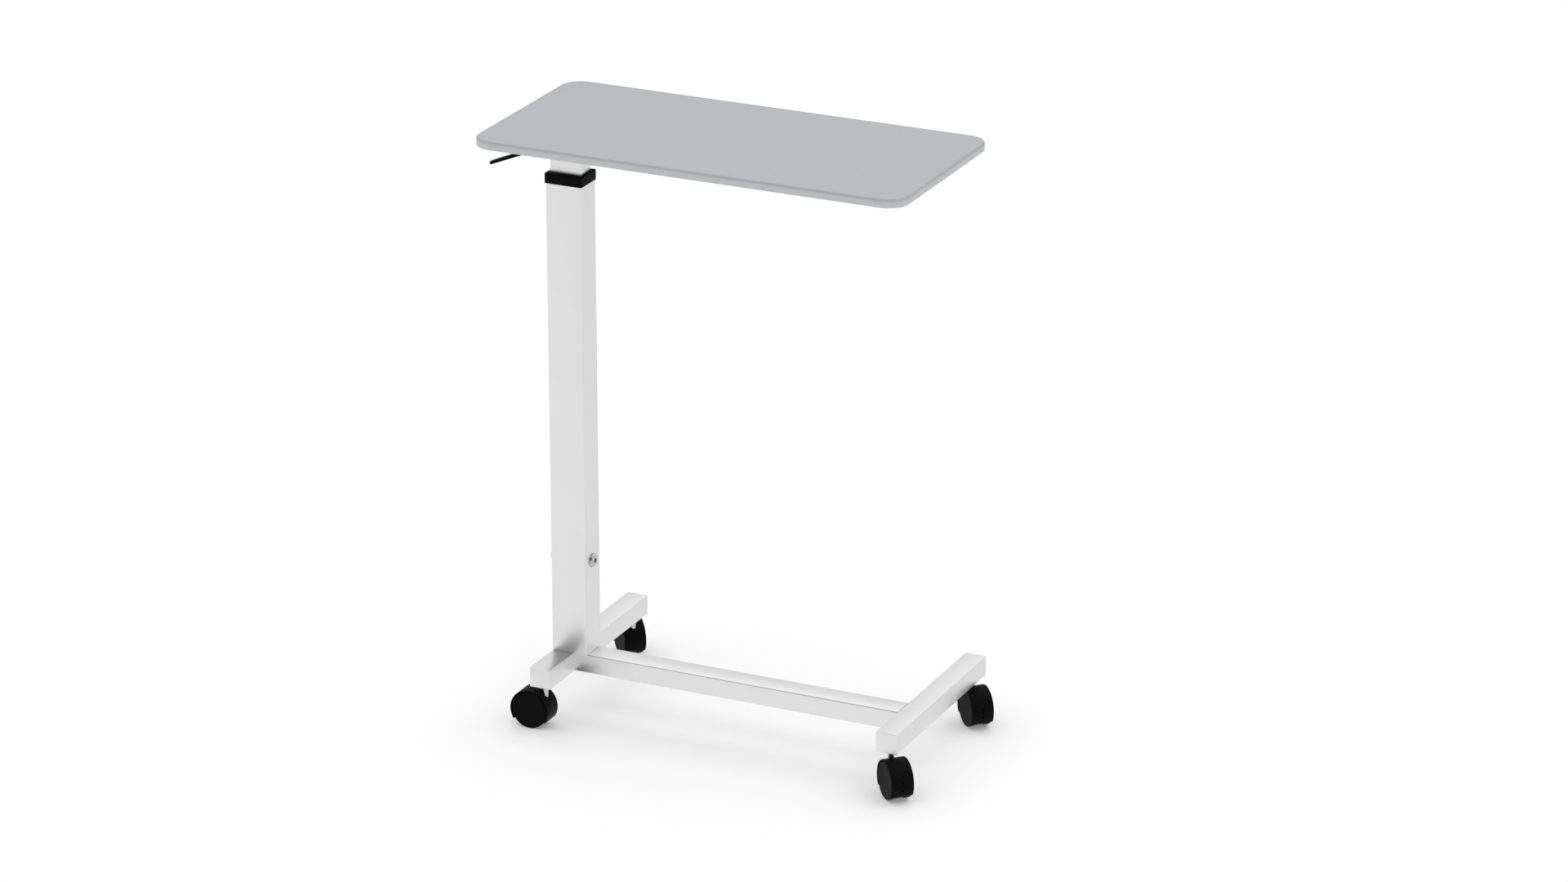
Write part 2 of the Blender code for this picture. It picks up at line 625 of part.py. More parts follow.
def screw_places():
    """Place of each screw under the top, in the column's frame, and the height its head bears on."""
    plate_end = PLATE_LENGTH - PLATE_OVERHANG
    xs = (PLATE_SCREW_INSET - PLATE_OVERHANG, plate_end - PLATE_SCREW_INSET)
    places = []
    for side in (-1, 1):
        for x in xs:
            y = side * (PLATE_WIDTH / 2 - PLATE_SCREW_INSET)
            places.append((x, y - COLUMN_Y, PLATE_BOTTOM))
        rail_x = RAIL_LENGTH - PLATE_OVERHANG - RAIL_SCREW_INSET
        places.append((rail_x, side * RAIL_Y - COLUMN_Y, BOARD_BOTTOM - GAP - RAIL_HEIGHT))
    return places


def screw_hole(place, bottom, height):
    return moved(drum(SCREW_RADIUS + GAP, height, SMALL_STEPS), (place[0], place[1], bottom))


def build_top_frame(lift):
    """The mount plate on the sliding tube and the two rails beside it, with the screws into the board."""
    plate = extruded([rounded_rectangle(PLATE_LENGTH, PLATE_WIDTH, PLATE_CORNER)], PLATE_THICKNESS)
    moved(plate, (PLATE_LENGTH / 2 - PLATE_OVERHANG, -COLUMN_Y, PLATE_BOTTOM))
    rails = {}
    for side, sign in (("front", -1), ("rear", 1)):
        rail = rectangular_tube(RAIL_WIDTH, RAIL_HEIGHT, RAIL_LENGTH, RAIL_WALL, RAIL_EDGE)
        rail_z = BOARD_BOTTOM - GAP - RAIL_HEIGHT / 2
        rails[side] = moved(rail, (-PLATE_OVERHANG, sign * RAIL_Y - COLUMN_Y, rail_z), ALONG_X)
    for index, place in enumerate(screw_places()):
        shank = BOARD_BOTTOM - place[2] + SCREW_BITE
        hole = screw_hole(place, place[2] - GAP, shank)
        if place[2] == PLATE_BOTTOM:
            plate = cut(plate, hole)
        else:
            side = "front" if index < len(screw_places()) / 2 else "rear"
            rails[side] = cut(rails[side], hole)
        screw = turned(
            [
                (0, shank),
                (SCREW_RADIUS, shank - SCREW_RADIUS),
                (SCREW_RADIUS, -GAP),
                (SCREW_HEAD_RADIUS, -GAP),
                (SCREW_HEAD_RADIUS, -GAP - SCREW_HEAD_HEIGHT / 2),
                (SCREW_HEAD_RADIUS / 2, -GAP - SCREW_HEAD_HEIGHT),
                (0, -GAP - SCREW_HEAD_HEIGHT),
            ],
            SMALL_STEPS,
        )
        node(f"top_screw_{index + 1}", screw, "zinc_steel", place, parent=lift)
    node("mount_plate", plate, "dark_steel", parent=lift)
    for side, rail in rails.items():
        node(f"support_rail_{side}", rail, "dark_steel", parent=lift)


def build_top(lift):
    centre = (TOP_CENTRE_X - COLUMN_X, -COLUMN_Y, BOARD_BOTTOM)
    inset = BAND_THICKNESS + GAP
    board_outline = rounded_rectangle(
        TOP_LENGTH - 2 * inset, TOP_WIDTH - 2 * inset, TOP_CORNER - inset, TOP_ARC_STEPS
    )
    board = moved(extruded([board_outline], TOP_THICKNESS), centre)
    for place in screw_places():
        board = cut(board, screw_hole(place, BOARD_BOTTOM - GAP, SCREW_BITE + 2 * GAP))
    node("tabletop_board", board, "laminate_grey", parent=lift)
    outline = rounded_rectangle(TOP_LENGTH, TOP_WIDTH, TOP_CORNER, TOP_ARC_STEPS)
    slab = bevelled(extruded([outline], TOP_THICKNESS), BAND_ROUND, 2)
    opening_outline = rounded_rectangle(
        TOP_LENGTH - 2 * BAND_THICKNESS,
        TOP_WIDTH - 2 * BAND_THICKNESS,
        TOP_CORNER - BAND_THICKNESS,
        TOP_ARC_STEPS,
    )
    opening = moved(extruded([opening_outline], 2 * TOP_THICKNESS), (0, 0, -TOP_THICKNESS / 2))
    node("edge_band", moved(cut(slab, opening), centre), "band_grey", parent=lift)


def hood_mesh():
    """A caster's body in its swivel frame, trailing along +X: hood, middle web, belly and stem boss.

    The belly fills the space between the two treads, with a well on each side for the wheel's hub.
    """
    start = -HOOD_SKIRT_ANGLE
    end = math.pi + HOOD_SKIRT_ANGLE
    wheel = (CASTER_TRAIL, WHEEL_RADIUS)
    outer = arc(wheel, HOOD_RADIUS, start, end, HOOD_STEPS)
    inner = arc(wheel, HOOD_INNER, end, start, HOOD_STEPS)
    shell = moved(extruded([outer + inner], 2 * HOOD_HALF_WIDTH), (0, HOOD_HALF_WIDTH, 0), ALONG_Y)
    web_outline = arc(wheel, HOOD_INNER + HOOD_JOIN, start + WEB_SETBACK, end - WEB_SETBACK, HOOD_STEPS)
    web = moved(extruded([web_outline], WEB_THICKNESS), (0, WEB_THICKNESS / 2, 0), ALONG_Y)
    belly_half_width = WHEEL_INNER_FACE - BELLY_CLEARANCE
    belly_outline = circle(WHEEL_RADIUS - BELLY_DEPTH, wheel, WHEEL_STEPS)
    well_outline = circle(HUB_RADIUS + HUB_WELL_CLEARANCE, wheel)
    belly = extruded([belly_outline, well_outline], 2 * belly_half_width)
    moved(belly, (0, belly_half_width, 0), ALONG_Y)
    boss = moved(drum(STEM_BOSS_RADIUS, STEM_BOSS_TOP - STEM_BOSS_BOTTOM), (0, 0, STEM_BOSS_BOTTOM))
    stem_hole = drum(STEM_RADIUS + GAP, WHEEL_RADIUS + HOOD_RADIUS)
    moved(stem_hole, (0, 0, STEM_BOSS_BOTTOM + STEM_BOSS_FLOOR))
    axle_hole = drum(AXLE_RADIUS + GAP, 2 * WEB_THICKNESS)
    moved(axle_hole, (CASTER_TRAIL, WEB_THICKNESS, WHEEL_RADIUS), ALONG_Y)
    body = cut(joined(shell, web, belly, boss), stem_hole, axle_hole)
    for angle in (REAR_HOLE_ANGLE, -REAR_HOLE_ANGLE):
        hole = drum(REAR_HOLE_RADIUS, 2 * REAR_HOLE_DEPTH, SMALL_STEPS)
        moved(hole, (0, 0, HOOD_RADIUS - REAR_HOLE_DEPTH))
        body = cut(body, moved(hole, (CASTER_TRAIL, 0, WHEEL_RADIUS), (0, QUARTER - angle, 0)))
    return body


def wheel_mesh():
    """A cup-shaped wheel about Z, its plain face up at WHEEL_OUTER_FACE from the caster's middle."""
    bore = AXLE_RADIUS + GAP
    hub_inner_face = WEB_THICKNESS / 2 + HUB_CLEARANCE
    disc_inside = WHEEL_OUTER_FACE - WHEEL_DISC
    return turned(
        [
            (0, WHEEL_OUTER_FACE),
            (WHEEL_RADIUS - TREAD_EDGE, WHEEL_OUTER_FACE),
            (WHEEL_RADIUS, WHEEL_OUTER_FACE - TREAD_EDGE),
            (WHEEL_RADIUS, WHEEL_INNER_FACE),
            (WHEEL_RADIUS - TREAD_DEPTH, WHEEL_INNER_FACE),
            (WHEEL_RADIUS - TREAD_DEPTH, disc_inside),
            (HUB_RADIUS, disc_inside),
            (HUB_RADIUS, hub_inner_face),
            (bore, hub_inner_face),
            (bore, WHEEL_OUTER_FACE - AXLE_END_COVER),
            (0, WHEEL_OUTER_FACE - AXLE_END_COVER),
        ],
        WHEEL_STEPS,
    )


def build_casters():
    hood = hood_mesh()
    wheel = wheel_mesh()
    axle_length = 2 * (WHEEL_OUTER_FACE - AXLE_END_COVER - GAP)
    axle = drum(AXLE_RADIUS, axle_length)
    stem_bottom = STEM_BOSS_BOTTOM + STEM_BOSS_FLOOR + GAP
    stem = drum(STEM_RADIUS, FOOT_BOTTOM + STEM_IN_FOOT - stem_bottom)
    socket_length = FOOT_HEIGHT - TUBE_WALL - GAP
    socket = drum(SOCKET_RADIUS, socket_length, hole=STEM_RADIUS + GAP)
    for corner, x, end, heading in corners():
        y = end * (FOOT_LENGTH / 2 - CASTER_INSET)
        name = f"caster_{corner}"
        node(f"{name}_socket", socket, "grey_plastic", (x, y, FOOT_BOTTOM))
        node(f"{name}_stem", stem, "zinc_steel", (x, y, stem_bottom))
        swivel = empty(f"{name}_swivel", (x, y, 0), heading)
        node(f"{name}_hood", hood, "black_plastic", parent=swivel)
        axle_at = Vector((CASTER_TRAIL, 0, WHEEL_RADIUS))
        node(f"{name}_axle", axle, "zinc_steel", axle_at + Vector((0, axle_length / 2, 0)), ALONG_Y, swivel)
        node(f"{name}_wheel_a", wheel, "tread_black", axle_at, ALONG_Y, swivel)
        node(f"{name}_wheel_b", wheel, "tread_black", axle_at, (-QUARTER, 0, 0), swivel)


def main():
    global parts
    clear_scene()
    parts = bpy.data.collections.new("overbed_table")
    bpy.context.scene.collection.children.link(parts)
    build_base()
    build_outer_column()
    build_collar()
    build_cross_bolt()
    build_gas_spring_cylinder()
    lift = empty("column_lift", (COLUMN_X, COLUMN_Y, 0))
    build_inner_column(lift)
    build_gas_spring_rod(lift)
    build_release_bracket(lift)
    build_lever(lift)
    build_top_frame(lift)
    build_top(lift)
    build_casters()


main()
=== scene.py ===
import json
import math

import bmesh
import bpy
from bpy.props import FloatProperty, FloatVectorProperty, IntProperty, PointerProperty
from bpy.types import Operator, Panel, PropertyGroup
from mathutils import Matrix, Vector

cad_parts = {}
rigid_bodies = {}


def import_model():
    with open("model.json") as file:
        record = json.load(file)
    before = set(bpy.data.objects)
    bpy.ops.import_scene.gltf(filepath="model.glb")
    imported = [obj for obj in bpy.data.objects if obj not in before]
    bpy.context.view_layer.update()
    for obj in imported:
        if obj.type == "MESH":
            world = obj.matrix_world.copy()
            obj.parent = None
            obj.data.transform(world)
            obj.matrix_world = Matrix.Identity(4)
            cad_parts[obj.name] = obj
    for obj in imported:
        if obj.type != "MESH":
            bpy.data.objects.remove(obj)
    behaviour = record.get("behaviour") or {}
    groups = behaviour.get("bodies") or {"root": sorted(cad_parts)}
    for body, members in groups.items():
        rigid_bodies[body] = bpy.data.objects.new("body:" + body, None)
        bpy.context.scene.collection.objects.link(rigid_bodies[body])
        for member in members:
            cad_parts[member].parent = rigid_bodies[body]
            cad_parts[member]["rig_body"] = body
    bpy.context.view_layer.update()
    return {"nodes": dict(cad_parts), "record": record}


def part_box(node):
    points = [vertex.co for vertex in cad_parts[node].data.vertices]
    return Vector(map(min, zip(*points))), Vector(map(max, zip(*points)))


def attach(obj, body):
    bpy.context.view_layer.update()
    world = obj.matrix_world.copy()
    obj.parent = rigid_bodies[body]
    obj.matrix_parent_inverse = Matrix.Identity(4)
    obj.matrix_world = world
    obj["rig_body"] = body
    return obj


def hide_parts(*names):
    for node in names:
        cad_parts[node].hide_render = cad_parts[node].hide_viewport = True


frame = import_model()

bl_info = {
    "name": "Overbed Table Finish",
    "version": (1, 0, 0),
    "blender": (4, 5, 0),
    "location": "View3D > Sidebar > Overbed Table",
    "description": "Models the visible pieces of an overbed table on its frame, and its finishes and stage",
    "category": "Object",
}

CORNERS = ("front_left", "front_right", "rear_right", "rear_left")
FINISH_PREFIX = "finish_"
SCREWS = 6

# Least cosine of a face that looks along an axis and of an edge that runs along one, and slack of a plane
SQUARE_ON = 0.9999
ALONG = 0.999
LEVEL = 0.00001

SMOOTH_ANGLE = math.radians(32.0)
SHARP_ANGLE = math.radians(40.0)

# Steps of the rounded edges, and sides of the smaller round shapes
EDGE_STEPS = 5
CORNER_STEPS = 24
BAND_STEPS = 7
DOME_STEPS = 8
TIP_STEPS = 6
RIM_STEPS = 4
CAP_STEPS = 3
FINE_STEPS = 2
HOLE_SIDES = 48
SMALL_HOLE_SIDES = 24
HEX_SIDES = 6

# Where reflections darken: along Y on the floor, as painted shade of the table on it, and in the sky by the
# cosine to a direction
FLOOR_SHADE_SPAN = (-0.36, 0.0)
SKY_SHADE = (0.40, 0.85)
SKY_SHADE_DIRECTION = Vector((0.10, -0.90, 0.42))


def length(name, description, default):
    """A length that the sidebar shows in the scene's units."""
    return FloatProperty(
        name=name, description=description, default=default, min=0.0, precision=5, unit="LENGTH"
    )


def tilt(name, description, degrees):
    return FloatProperty(
        name=name, description=description, default=math.radians(degrees), subtype="ANGLE"
    )


def fraction(name, description, default):
    return FloatProperty(
        name=name, description=description, default=default, min=0.0, max=1.0, subtype="FACTOR"
    )


def power(name, description, default):
    return FloatProperty(name=name, description=description, default=default, min=0.0)


def count(name, description, default, least):
    return IntProperty(name=name, description=description, default=default, min=least)


def colour(name, description, default):
    return FloatVectorProperty(
        name=name, description=description, default=default, min=0.0, max=1.0, subtype="COLOR"
    )


class OverbedSizes(PropertyGroup):
    """Sizes of the modelled pieces that the frame's boxes don't give."""

    gap: length("Gap", "Clearance between pieces that touch", 0.0003)
    tube_wall: length("Tube wall", "Wall of the steel tubes", 0.002)
    foot_edge: length("Foot edge", "Rounding of the long edges of feet and beam", 0.0015)
    column_edge: length("Column edge", "Rounding of the long edges of the column's tubes", 0.0018)
    cap_plug: length("Cap plug", "How far a foot's end cap goes into its tube", 0.006)
    cap_round: length("Cap rounding", "Rounding of an end cap's outer edges", 0.0005)
    seam: length("Seam", "Width of a painted-over seam between steel pieces", 0.00004)
    collar_skirt: length("Collar skirt", "How far the collar comes down outside the column", 0.0128)
    collar_lid: length("Collar lid", "Thickness of the collar above the column's end", 0.0033)
    collar_round: length("Collar rounding", "Rounding of the collar's upper edges", 0.0010)
    top_corner: length("Top corner", "Radius of the top's corners in plan", 0.034)
    band_thickness: length("Band thickness", "Thickness of the top's edge band", 0.003)
    band_round: length("Band rounding", "Rounding of the edge band's arrises", 0.0027)
    bolt_shank: length("Bolt shank", "Radius of the cross bolt's shank", 0.005)
    bolt_dome: length("Bolt dome", "Rounding of the bolt head's rim", 0.0038)
    bolt_socket: length("Bolt socket", "Corner radius of the hex socket in the bolt's head", 0.0046)
    bolt_socket_depth: length("Socket depth", "Depth of the hex socket in the bolt's head", 0.0025)
    laminate_arris: length("Laminate arris", "Rounding of the laminate's upper edge", 0.0003)
    screw_hole: length("Screw hole", "Radius of the screws' holes in the board", 0.0023)
    hood_wall: length("Hood wall", "Wall of a caster's hood", 0.0017)
    hood_round: length("Hood rounding", "Rounding of the hood's rims", 0.0010)
    hood_skirt: tilt("Hood skirt", "Angle below the axle at which the hood's rim ends", 32.0)
    hood_web: length("Hood web", "Thickness of the hood's middle web", 0.008)
    belly_depth: length("Belly depth", "How far the hood's middle stays inside the treads", 0.0010)
    belly_gap: length("Belly gap", "Clearance between the hood's middle and a tread", 0.0004)
    hub_well: length("Hub well", "Radius of the well round a wheel's hub in the hood's middle", 0.0075)
    hood_boss: length("Stem boss", "Radius of the boss round a caster's stem", 0.008)
    boss_floor: length("Boss floor", "How far the stem's boss goes below the stem", 0.0033)
    boss_top: length("Boss top", "Height of the boss's top above the floor", 0.046)
    stem_hole: length("Stem hole", "Radius of the hood's hole round the stem", 0.0053)
    stem_round: length("Stem rounding", "Rounding of a stem's ends", 0.0006)
    rear_hole: length("Rear hole", "Radius of the two small holes in a hood's rear", 0.0015)
    rear_hole_angle: tilt("Rear hole angle", "Angle of each rear hole above or below the axle", 12.0)
    rear_bar_length: length("Rear bar length", "Length of the moulded bar between the rear holes", 0.0060)
    rear_bar_height: length("Rear bar height", "Height of the moulded bar between the rear holes", 0.0014)
    rear_bar_rise: length("Rear bar rise", "How far the moulded bar stands out", 0.0004)
    wheel_disc: length("Wheel disc", "Thickness of a wheel's disc", 0.0032)
    wheel_tread: length("Wheel tread", "Depth of a wheel's tread ring", 0.0045)
    wheel_round: length("Wheel rounding", "Rounding of a wheel's outer edge", 0.0016)
    wheel_flange: length("Wheel flange", "Flat ring round the dish of a wheel's disc", 0.0020)
    wheel_dish: length("Wheel dish", "How far a wheel's disc is dished", 0.0004)
    wheel_dish_run: length("Wheel dish run", "Width of the slope of a wheel's dish", 0.010)
    wheel_hub: length("Wheel hub", "Radius of a wheel's hub", 0.006)
    hub_gap: length("Hub gap", "Clearance between a wheel's hub and the hood's web", 0.0006)
    hub_step: length("Hub step", "How far a wheel's hub stands out past its tread", 0.004)
    axle_floor: length("Axle floor", "Thickness of the disc outside the axle's hole", 0.003)
    axle: length("Axle", "Radius of a caster's axle", 0.003)
    lever_round: length("Lever rounding", "Rounding of the lever's edges", 0.0011)
    lever_root_width: length("Lever root width", "Width of the lever's straight root", 0.012)
    lever_straight: length("Lever root", "Length of the lever's straight root", 0.018)
    lever_bend: length("Lever bend", "Radius of the lever's bend", 0.040)
    lever_tip_width: length("Lever tip width", "Width of the lever at its tip", 0.016)
    lever_tip_thickness: length("Lever tip thickness", "Thickness of the lever at its tip", 0.0045)
    lever_tip_corner: length("Lever tip corner", "Radius of the tip's corners in plan", 0.0066)
    lever_droop: tilt("Lever droop", "How far the lever's blade hangs down", 22.7)
    lever_bend_steps: count("Bend steps", "Steps of the lever's bend", 6, 2)
    lever_blade_steps: count("Blade steps", "Steps of the lever's blade", 5, 1)
    slot_margin: length("Slot margin", "Room beside the lever in the inner column's slot", 0.002)
    slot_below: length("Slot below", "How far the slot goes below the lever's pivot", 0.0055)
    slot_above: length("Slot above", "How far the slot goes above the lever's pivot", 0.0095)
    round_steps: count("Round steps", "Sides of a full circle on the round pieces", 96, 24)


class OverbedFinishes(PropertyGroup):
    """Colours of the finishes, as they are under plain white light."""

    laminate: colour("Laminate", "Top's laminate", (0.443, 0.448, 0.456))
    band: colour("Edge band", "Band round the top", (0.512, 0.518, 0.524))
    # Painted shade: a darker tone down from the band's upper edge, standing in for the shade on the top's
    # rounded arris
    painted_arris_shade: colour("Glue line", "Darker line where band and laminate meet", (0.30, 0.305, 0.31))
    painted_arris_shade_share: fraction("Glue line share", "How much of the glue line's colour shows", 0.55)
    painted_arris_shade_start: length("Glue line start", "Depth below the top at which the darkening starts", 0.0065)
    painted_arris_shade_end: length("Glue line end", "Depth below the top at which the darkening is full", 0.0010)
    silver: colour("Silver paint", "Metal-flake paint of feet, beam and column", (0.84, 0.841, 0.843))
    cap: colour("End caps", "Plastic caps in the feet", (0.84, 0.841, 0.843))
    black: colour("Black plastic", "Collar, lever and caster hoods", (0.0038, 0.0038, 0.0039))
    wheel: colour("Wheel plastic", "Caster wheels", (0.0044, 0.0044, 0.0045))
    zinc: colour("Zinc", "Bolt, nuts, stems and screws", (0.60, 0.61, 0.62))
    dark_steel: colour("Dark steel", "Plate, rails, bracket and gas spring", (0.045, 0.046, 0.048))
    pale_plastic: colour("Pale plastic", "Guides, spacers and sockets", (0.66, 0.66, 0.65))
    dust: colour("Dust", "Settled dust", (0.36, 0.35, 0.34))


class OverbedStage(PropertyGroup):
    """Camera, floor and light."""

    camera_place: FloatVectorProperty(
        name="Camera place", description="Where the camera stands", default=(3.5864, -7.4861, 3.6099),
        subtype="TRANSLATION", unit="LENGTH",
    )
    camera_pitch: tilt("Camera pitch", "How far the camera looks down", 20.759)
    camera_yaw: tilt("Camera yaw", "How far the camera is turned from looking along +Y", 25.089)
    lens: FloatProperty(
        name="Lens", description="Focal length in millimetres", default=132.917, unit="CAMERA"
    )
    sensor: FloatProperty(
        name="Sensor", description="Sensor width in millimetres", default=36.0, unit="CAMERA"
    )
    clip_end: length("Clip end", "How far the camera sees", 200.0)
    floor: colour("Floor", "Colour of the floor", (0.97, 0.97, 0.97))
    floor_size: length("Floor size", "Side of the floor", 60.0)
    near_glow: fraction("Near glow", "Share of the floor's own light next to the table", 0.17)
    near_floor: length("Near floor", "Distance from the middle at which that share starts to grow", 0.35)
    far_floor: length("Far floor", "Distance from the middle at which the floor is plain", 1.0)
    sky: power("Sky", "Strength of the soft light all round", 0.93)
    mirrored_sky: power("Mirrored sky", "Strength of the sky as metal and gloss reflect it", 0.82)
    # Painted shade: reflections see the floor behind the table darker, as if the table shaded it
    mirrored_floor_shade: fraction(
        "Mirrored drop", "How much darker the floor behind the table is in reflections", 0.13
    )
    front_shade: fraction("Front shade", "Share of the light left high up on the viewer's side", 0.22)
    top_light: power("Top light", "Strength of the wide lamp overhead", 1.13)
    top_spread: tilt("Top spread", "How wide the overhead lamp looks from the table", 100.0)
    top_tilt: tilt("Top tilt", "How far the overhead lamp leans", -12.0)


# Modelling helpers


def axis_of(letter):
    return "XYZ".index(letter)


def start():
    """Leaves nothing selected, so that the next operator acts only on what it adds."""
    if bpy.context.mode != "OBJECT":
        bpy.ops.object.mode_set(mode="OBJECT")
    bpy.ops.object.select_all(action="DESELECT")


def only(obj):
    start()
    obj.select_set(True)
    bpy.context.view_layer.objects.active = obj


def settle(obj):
    """Puts an object's place, turn and size into its mesh."""
    only(obj)
    bpy.ops.object.transform_apply(location=True, rotation=True, scale=True)
    return obj


def edit(obj):
    only(obj)
    bpy.ops.object.mode_set(mode="EDIT")


def leave():
    bpy.ops.object.mode_set(mode="OBJECT")


def choose(obj, kind, test):
    """In edit mode, selects only the vertices, edges or faces that pass the test."""
    bpy.ops.mesh.select_mode(type=kind)
    bpy.ops.mesh.select_all(action="DESELECT")
    mesh = bmesh.from_edit_mesh(obj.data)
    kinds = {"VERT": mesh.verts, "EDGE": mesh.edges, "FACE": mesh.faces}
    found = [element for element in kinds[kind] if test(element)]
    if not found:
        raise RuntimeError(f"{obj.name}: nothing to work on")
    for element in found:
        element.select_set(True)
    mesh.select_flush_mode()
    bmesh.update_edit_mesh(obj.data)


def facing(letter, sign):
    """Test for faces that look along an axis."""
    index = axis_of(letter)
    return lambda face: face.normal[index] * sign > SQUARE_ON


def running(letter):
    """Test for edges that run along an axis."""
    index = axis_of(letter)

    def test(edge):
        step = edge.verts[1].co - edge.verts[0].co
        return abs(step[index]) > ALONG * step.length

    return test


def lying(letter, place):
    """Test for edges that lie in a plane across an axis."""
    index = axis_of(letter)
    return lambda edge: all(abs(vertex.co[index] - place) < LEVEL for vertex in edge.verts)


def bevel(offset, segments):
    bpy.ops.mesh.bevel(offset=offset, segments=segments, affect="EDGES", profile=0.5)


def inset(thickness):
    bpy.ops.mesh.inset(thickness=thickness, use_even_offset=True)


def push(x=0.0, y=0.0, z=0.0):
    """Extrudes what is selected by a step."""
    bpy.ops.mesh.extrude_region_move(TRANSFORM_OT_translate={"value": (x, y, z)})


def add_box(name, low, high):
    start()
    low = Vector(low)
    high = Vector(high)
    bpy.ops.mesh.primitive_cube_add(size=1.0, location=(low + high) / 2, scale=high - low)
    obj = bpy.context.active_object
    obj.name = name
    return settle(obj)


def add_round(name, radius, low, high, letter, sides):
    """A cylinder between two points on a line along an axis."""
    start()
    low = Vector(low)
    high = Vector(high)
    turn = {"X": (0, math.pi / 2, 0), "Y": (math.pi / 2, 0, 0), "Z": (0, 0, 0)}[letter]
    bpy.ops.mesh.primitive_cylinder_add(
        vertices=sides, radius=radius, depth=(high - low).length, location=(low + high) / 2, rotation=turn
    )
    obj = bpy.context.active_object
    obj.name = name
    return settle(obj)


def combine(obj, tool, operation):
    """Cuts or joins with a second shape, which is used up."""
    only(obj)
    modifier = obj.modifiers.new("Combine", "BOOLEAN")
    modifier.operation = operation
    modifier.solver = "EXACT"
    modifier.object = tool
    bpy.ops.object.modifier_apply(modifier=modifier.name)
    bpy.data.objects.remove(tool)


def bore(obj, radius, low, high, letter, sides=HOLE_SIDES):
    combine(obj, add_round("bore", radius, low, high, letter, sides), "DIFFERENCE")


def round_edges_along(obj, letter, radius, segments=EDGE_STEPS):
    edit(obj)
    choose(obj, "EDGE", running(letter))
    bevel(radius, segments)
    leave()


def smooth(obj):
    only(obj)
    bpy.ops.object.shade_smooth_by_angle(angle=SMOOTH_ANGLE)


def middle_of(node):
    low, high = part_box(node)
    return (low + high) / 2


def finish_of(slot):
    return bpy.data.materials[FINISH_PREFIX + slot]


def place_piece(obj, node, slot):
    """Sets a finished piece in the place of its node, on the node's body."""
    smooth(obj)
    obj.data.materials.clear()
    obj.data.materials.append(finish_of(slot))
    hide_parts(node)
    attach(obj, frame["nodes"][node]["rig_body"])


def copied(obj, name, matrix):
    """A copy with its own mesh, moved into place."""
    only(obj)
    bpy.ops.object.duplicate(linked=False)
    copy = bpy.context.active_object
    copy.name = name
    copy.matrix_world = matrix
    return settle(copy)


# Finishes


def add_node(tree, kind, place=(0, 0), **settings):
    node = tree.nodes.new(kind)
    node.location = place
    for key, value in settings.items():
        setattr(node, key, value)
    return node


def shader_group(name, inputs, outputs):
    """A new shader node group with named sockets, and its two ends."""
    tree = bpy.data.node_groups.new(name, "ShaderNodeTree")
    for socket, kind, default in inputs:
        made = tree.interface.new_socket(socket, in_out="INPUT", socket_type=kind)
        if default is not None:
            made.default_value = default
    for socket, kind in outputs:
        tree.interface.new_socket(socket, in_out="OUTPUT", socket_type=kind)
    first = add_node(tree, "NodeGroupInput", (-900, 0))
    last = add_node(tree, "NodeGroupOutput", (600, 0))
    return tree, first, last


def feed(tree, value, socket):
    """Links a socket to another, or sets it to a plain value."""
    if isinstance(value, bpy.types.NodeSocket):
        tree.links.new(value, socket)
    else:
        socket.default_value = value


def noise(tree, vector, scale, detail, place):
    node = add_node(tree, "ShaderNodeTexNoise", place)
    tree.links.new(vector, node.inputs["Vector"])
    feed(tree, scale, node.inputs["Scale"])
    node.inputs["Detail"].default_value = detail
    return node


def math_node(tree, operation, first, second, place):
    node = add_node(tree, "ShaderNodeMath", place, operation=operation)
    feed(tree, first, node.inputs[0])
    feed(tree, second, node.inputs[1])
    return node.outputs["Value"]


def ramp(tree, value, span, result, place):
    """Eases a value from one span, a low and a high, into another."""
    node = add_node(tree, "ShaderNodeMapRange", place, interpolation_type="SMOOTHSTEP")
    for key, number in zip(("From Min", "From Max", "To Min", "To Max"), (*span, *result)):
        node.inputs[key].default_value = number
    tree.links.new(value, node.inputs["Value"])
    return node.outputs["Result"]


def speckle_group():
    """Fine flecks and a faint broad drift in a colour's tone, round 1."""
    tree, first, last = shader_group(
        "Fleck tone",
        [
            ("Vector", "NodeSocketVector", None),
            ("Fleck scale", "NodeSocketFloat", 700.0),
            ("Fleck depth", "NodeSocketFloat", 0.05),
            ("Drift scale", "NodeSocketFloat", 6.0),
            ("Drift depth", "NodeSocketFloat", 0.02),
        ],
        [("Tone", "NodeSocketFloat")],
    )
    fleck = noise(tree, first.outputs["Vector"], first.outputs["Fleck scale"], 2.0, (-650, 150))
    drift = noise(tree, first.outputs["Vector"], first.outputs["Drift scale"], 1.0, (-650, -150))
    fleck_part = math_node(tree, "SUBTRACT", fleck.outputs["Fac"], 0.5, (-400, 150))
    fleck_part = math_node(tree, "MULTIPLY", fleck_part, first.outputs["Fleck depth"], (-200, 150))
    drift_part = math_node(tree, "SUBTRACT", drift.outputs["Fac"], 0.5, (-400, -150))
    drift_part = math_node(tree, "MULTIPLY", drift_part, first.outputs["Drift depth"], (-200, -150))
    both = math_node(tree, "ADD", fleck_part, drift_part, (0, 0))
    tone = math_node(tree, "ADD", both, 1.0, (200, 0))
    tree.links.new(tone, last.inputs["Tone"])
    return tree


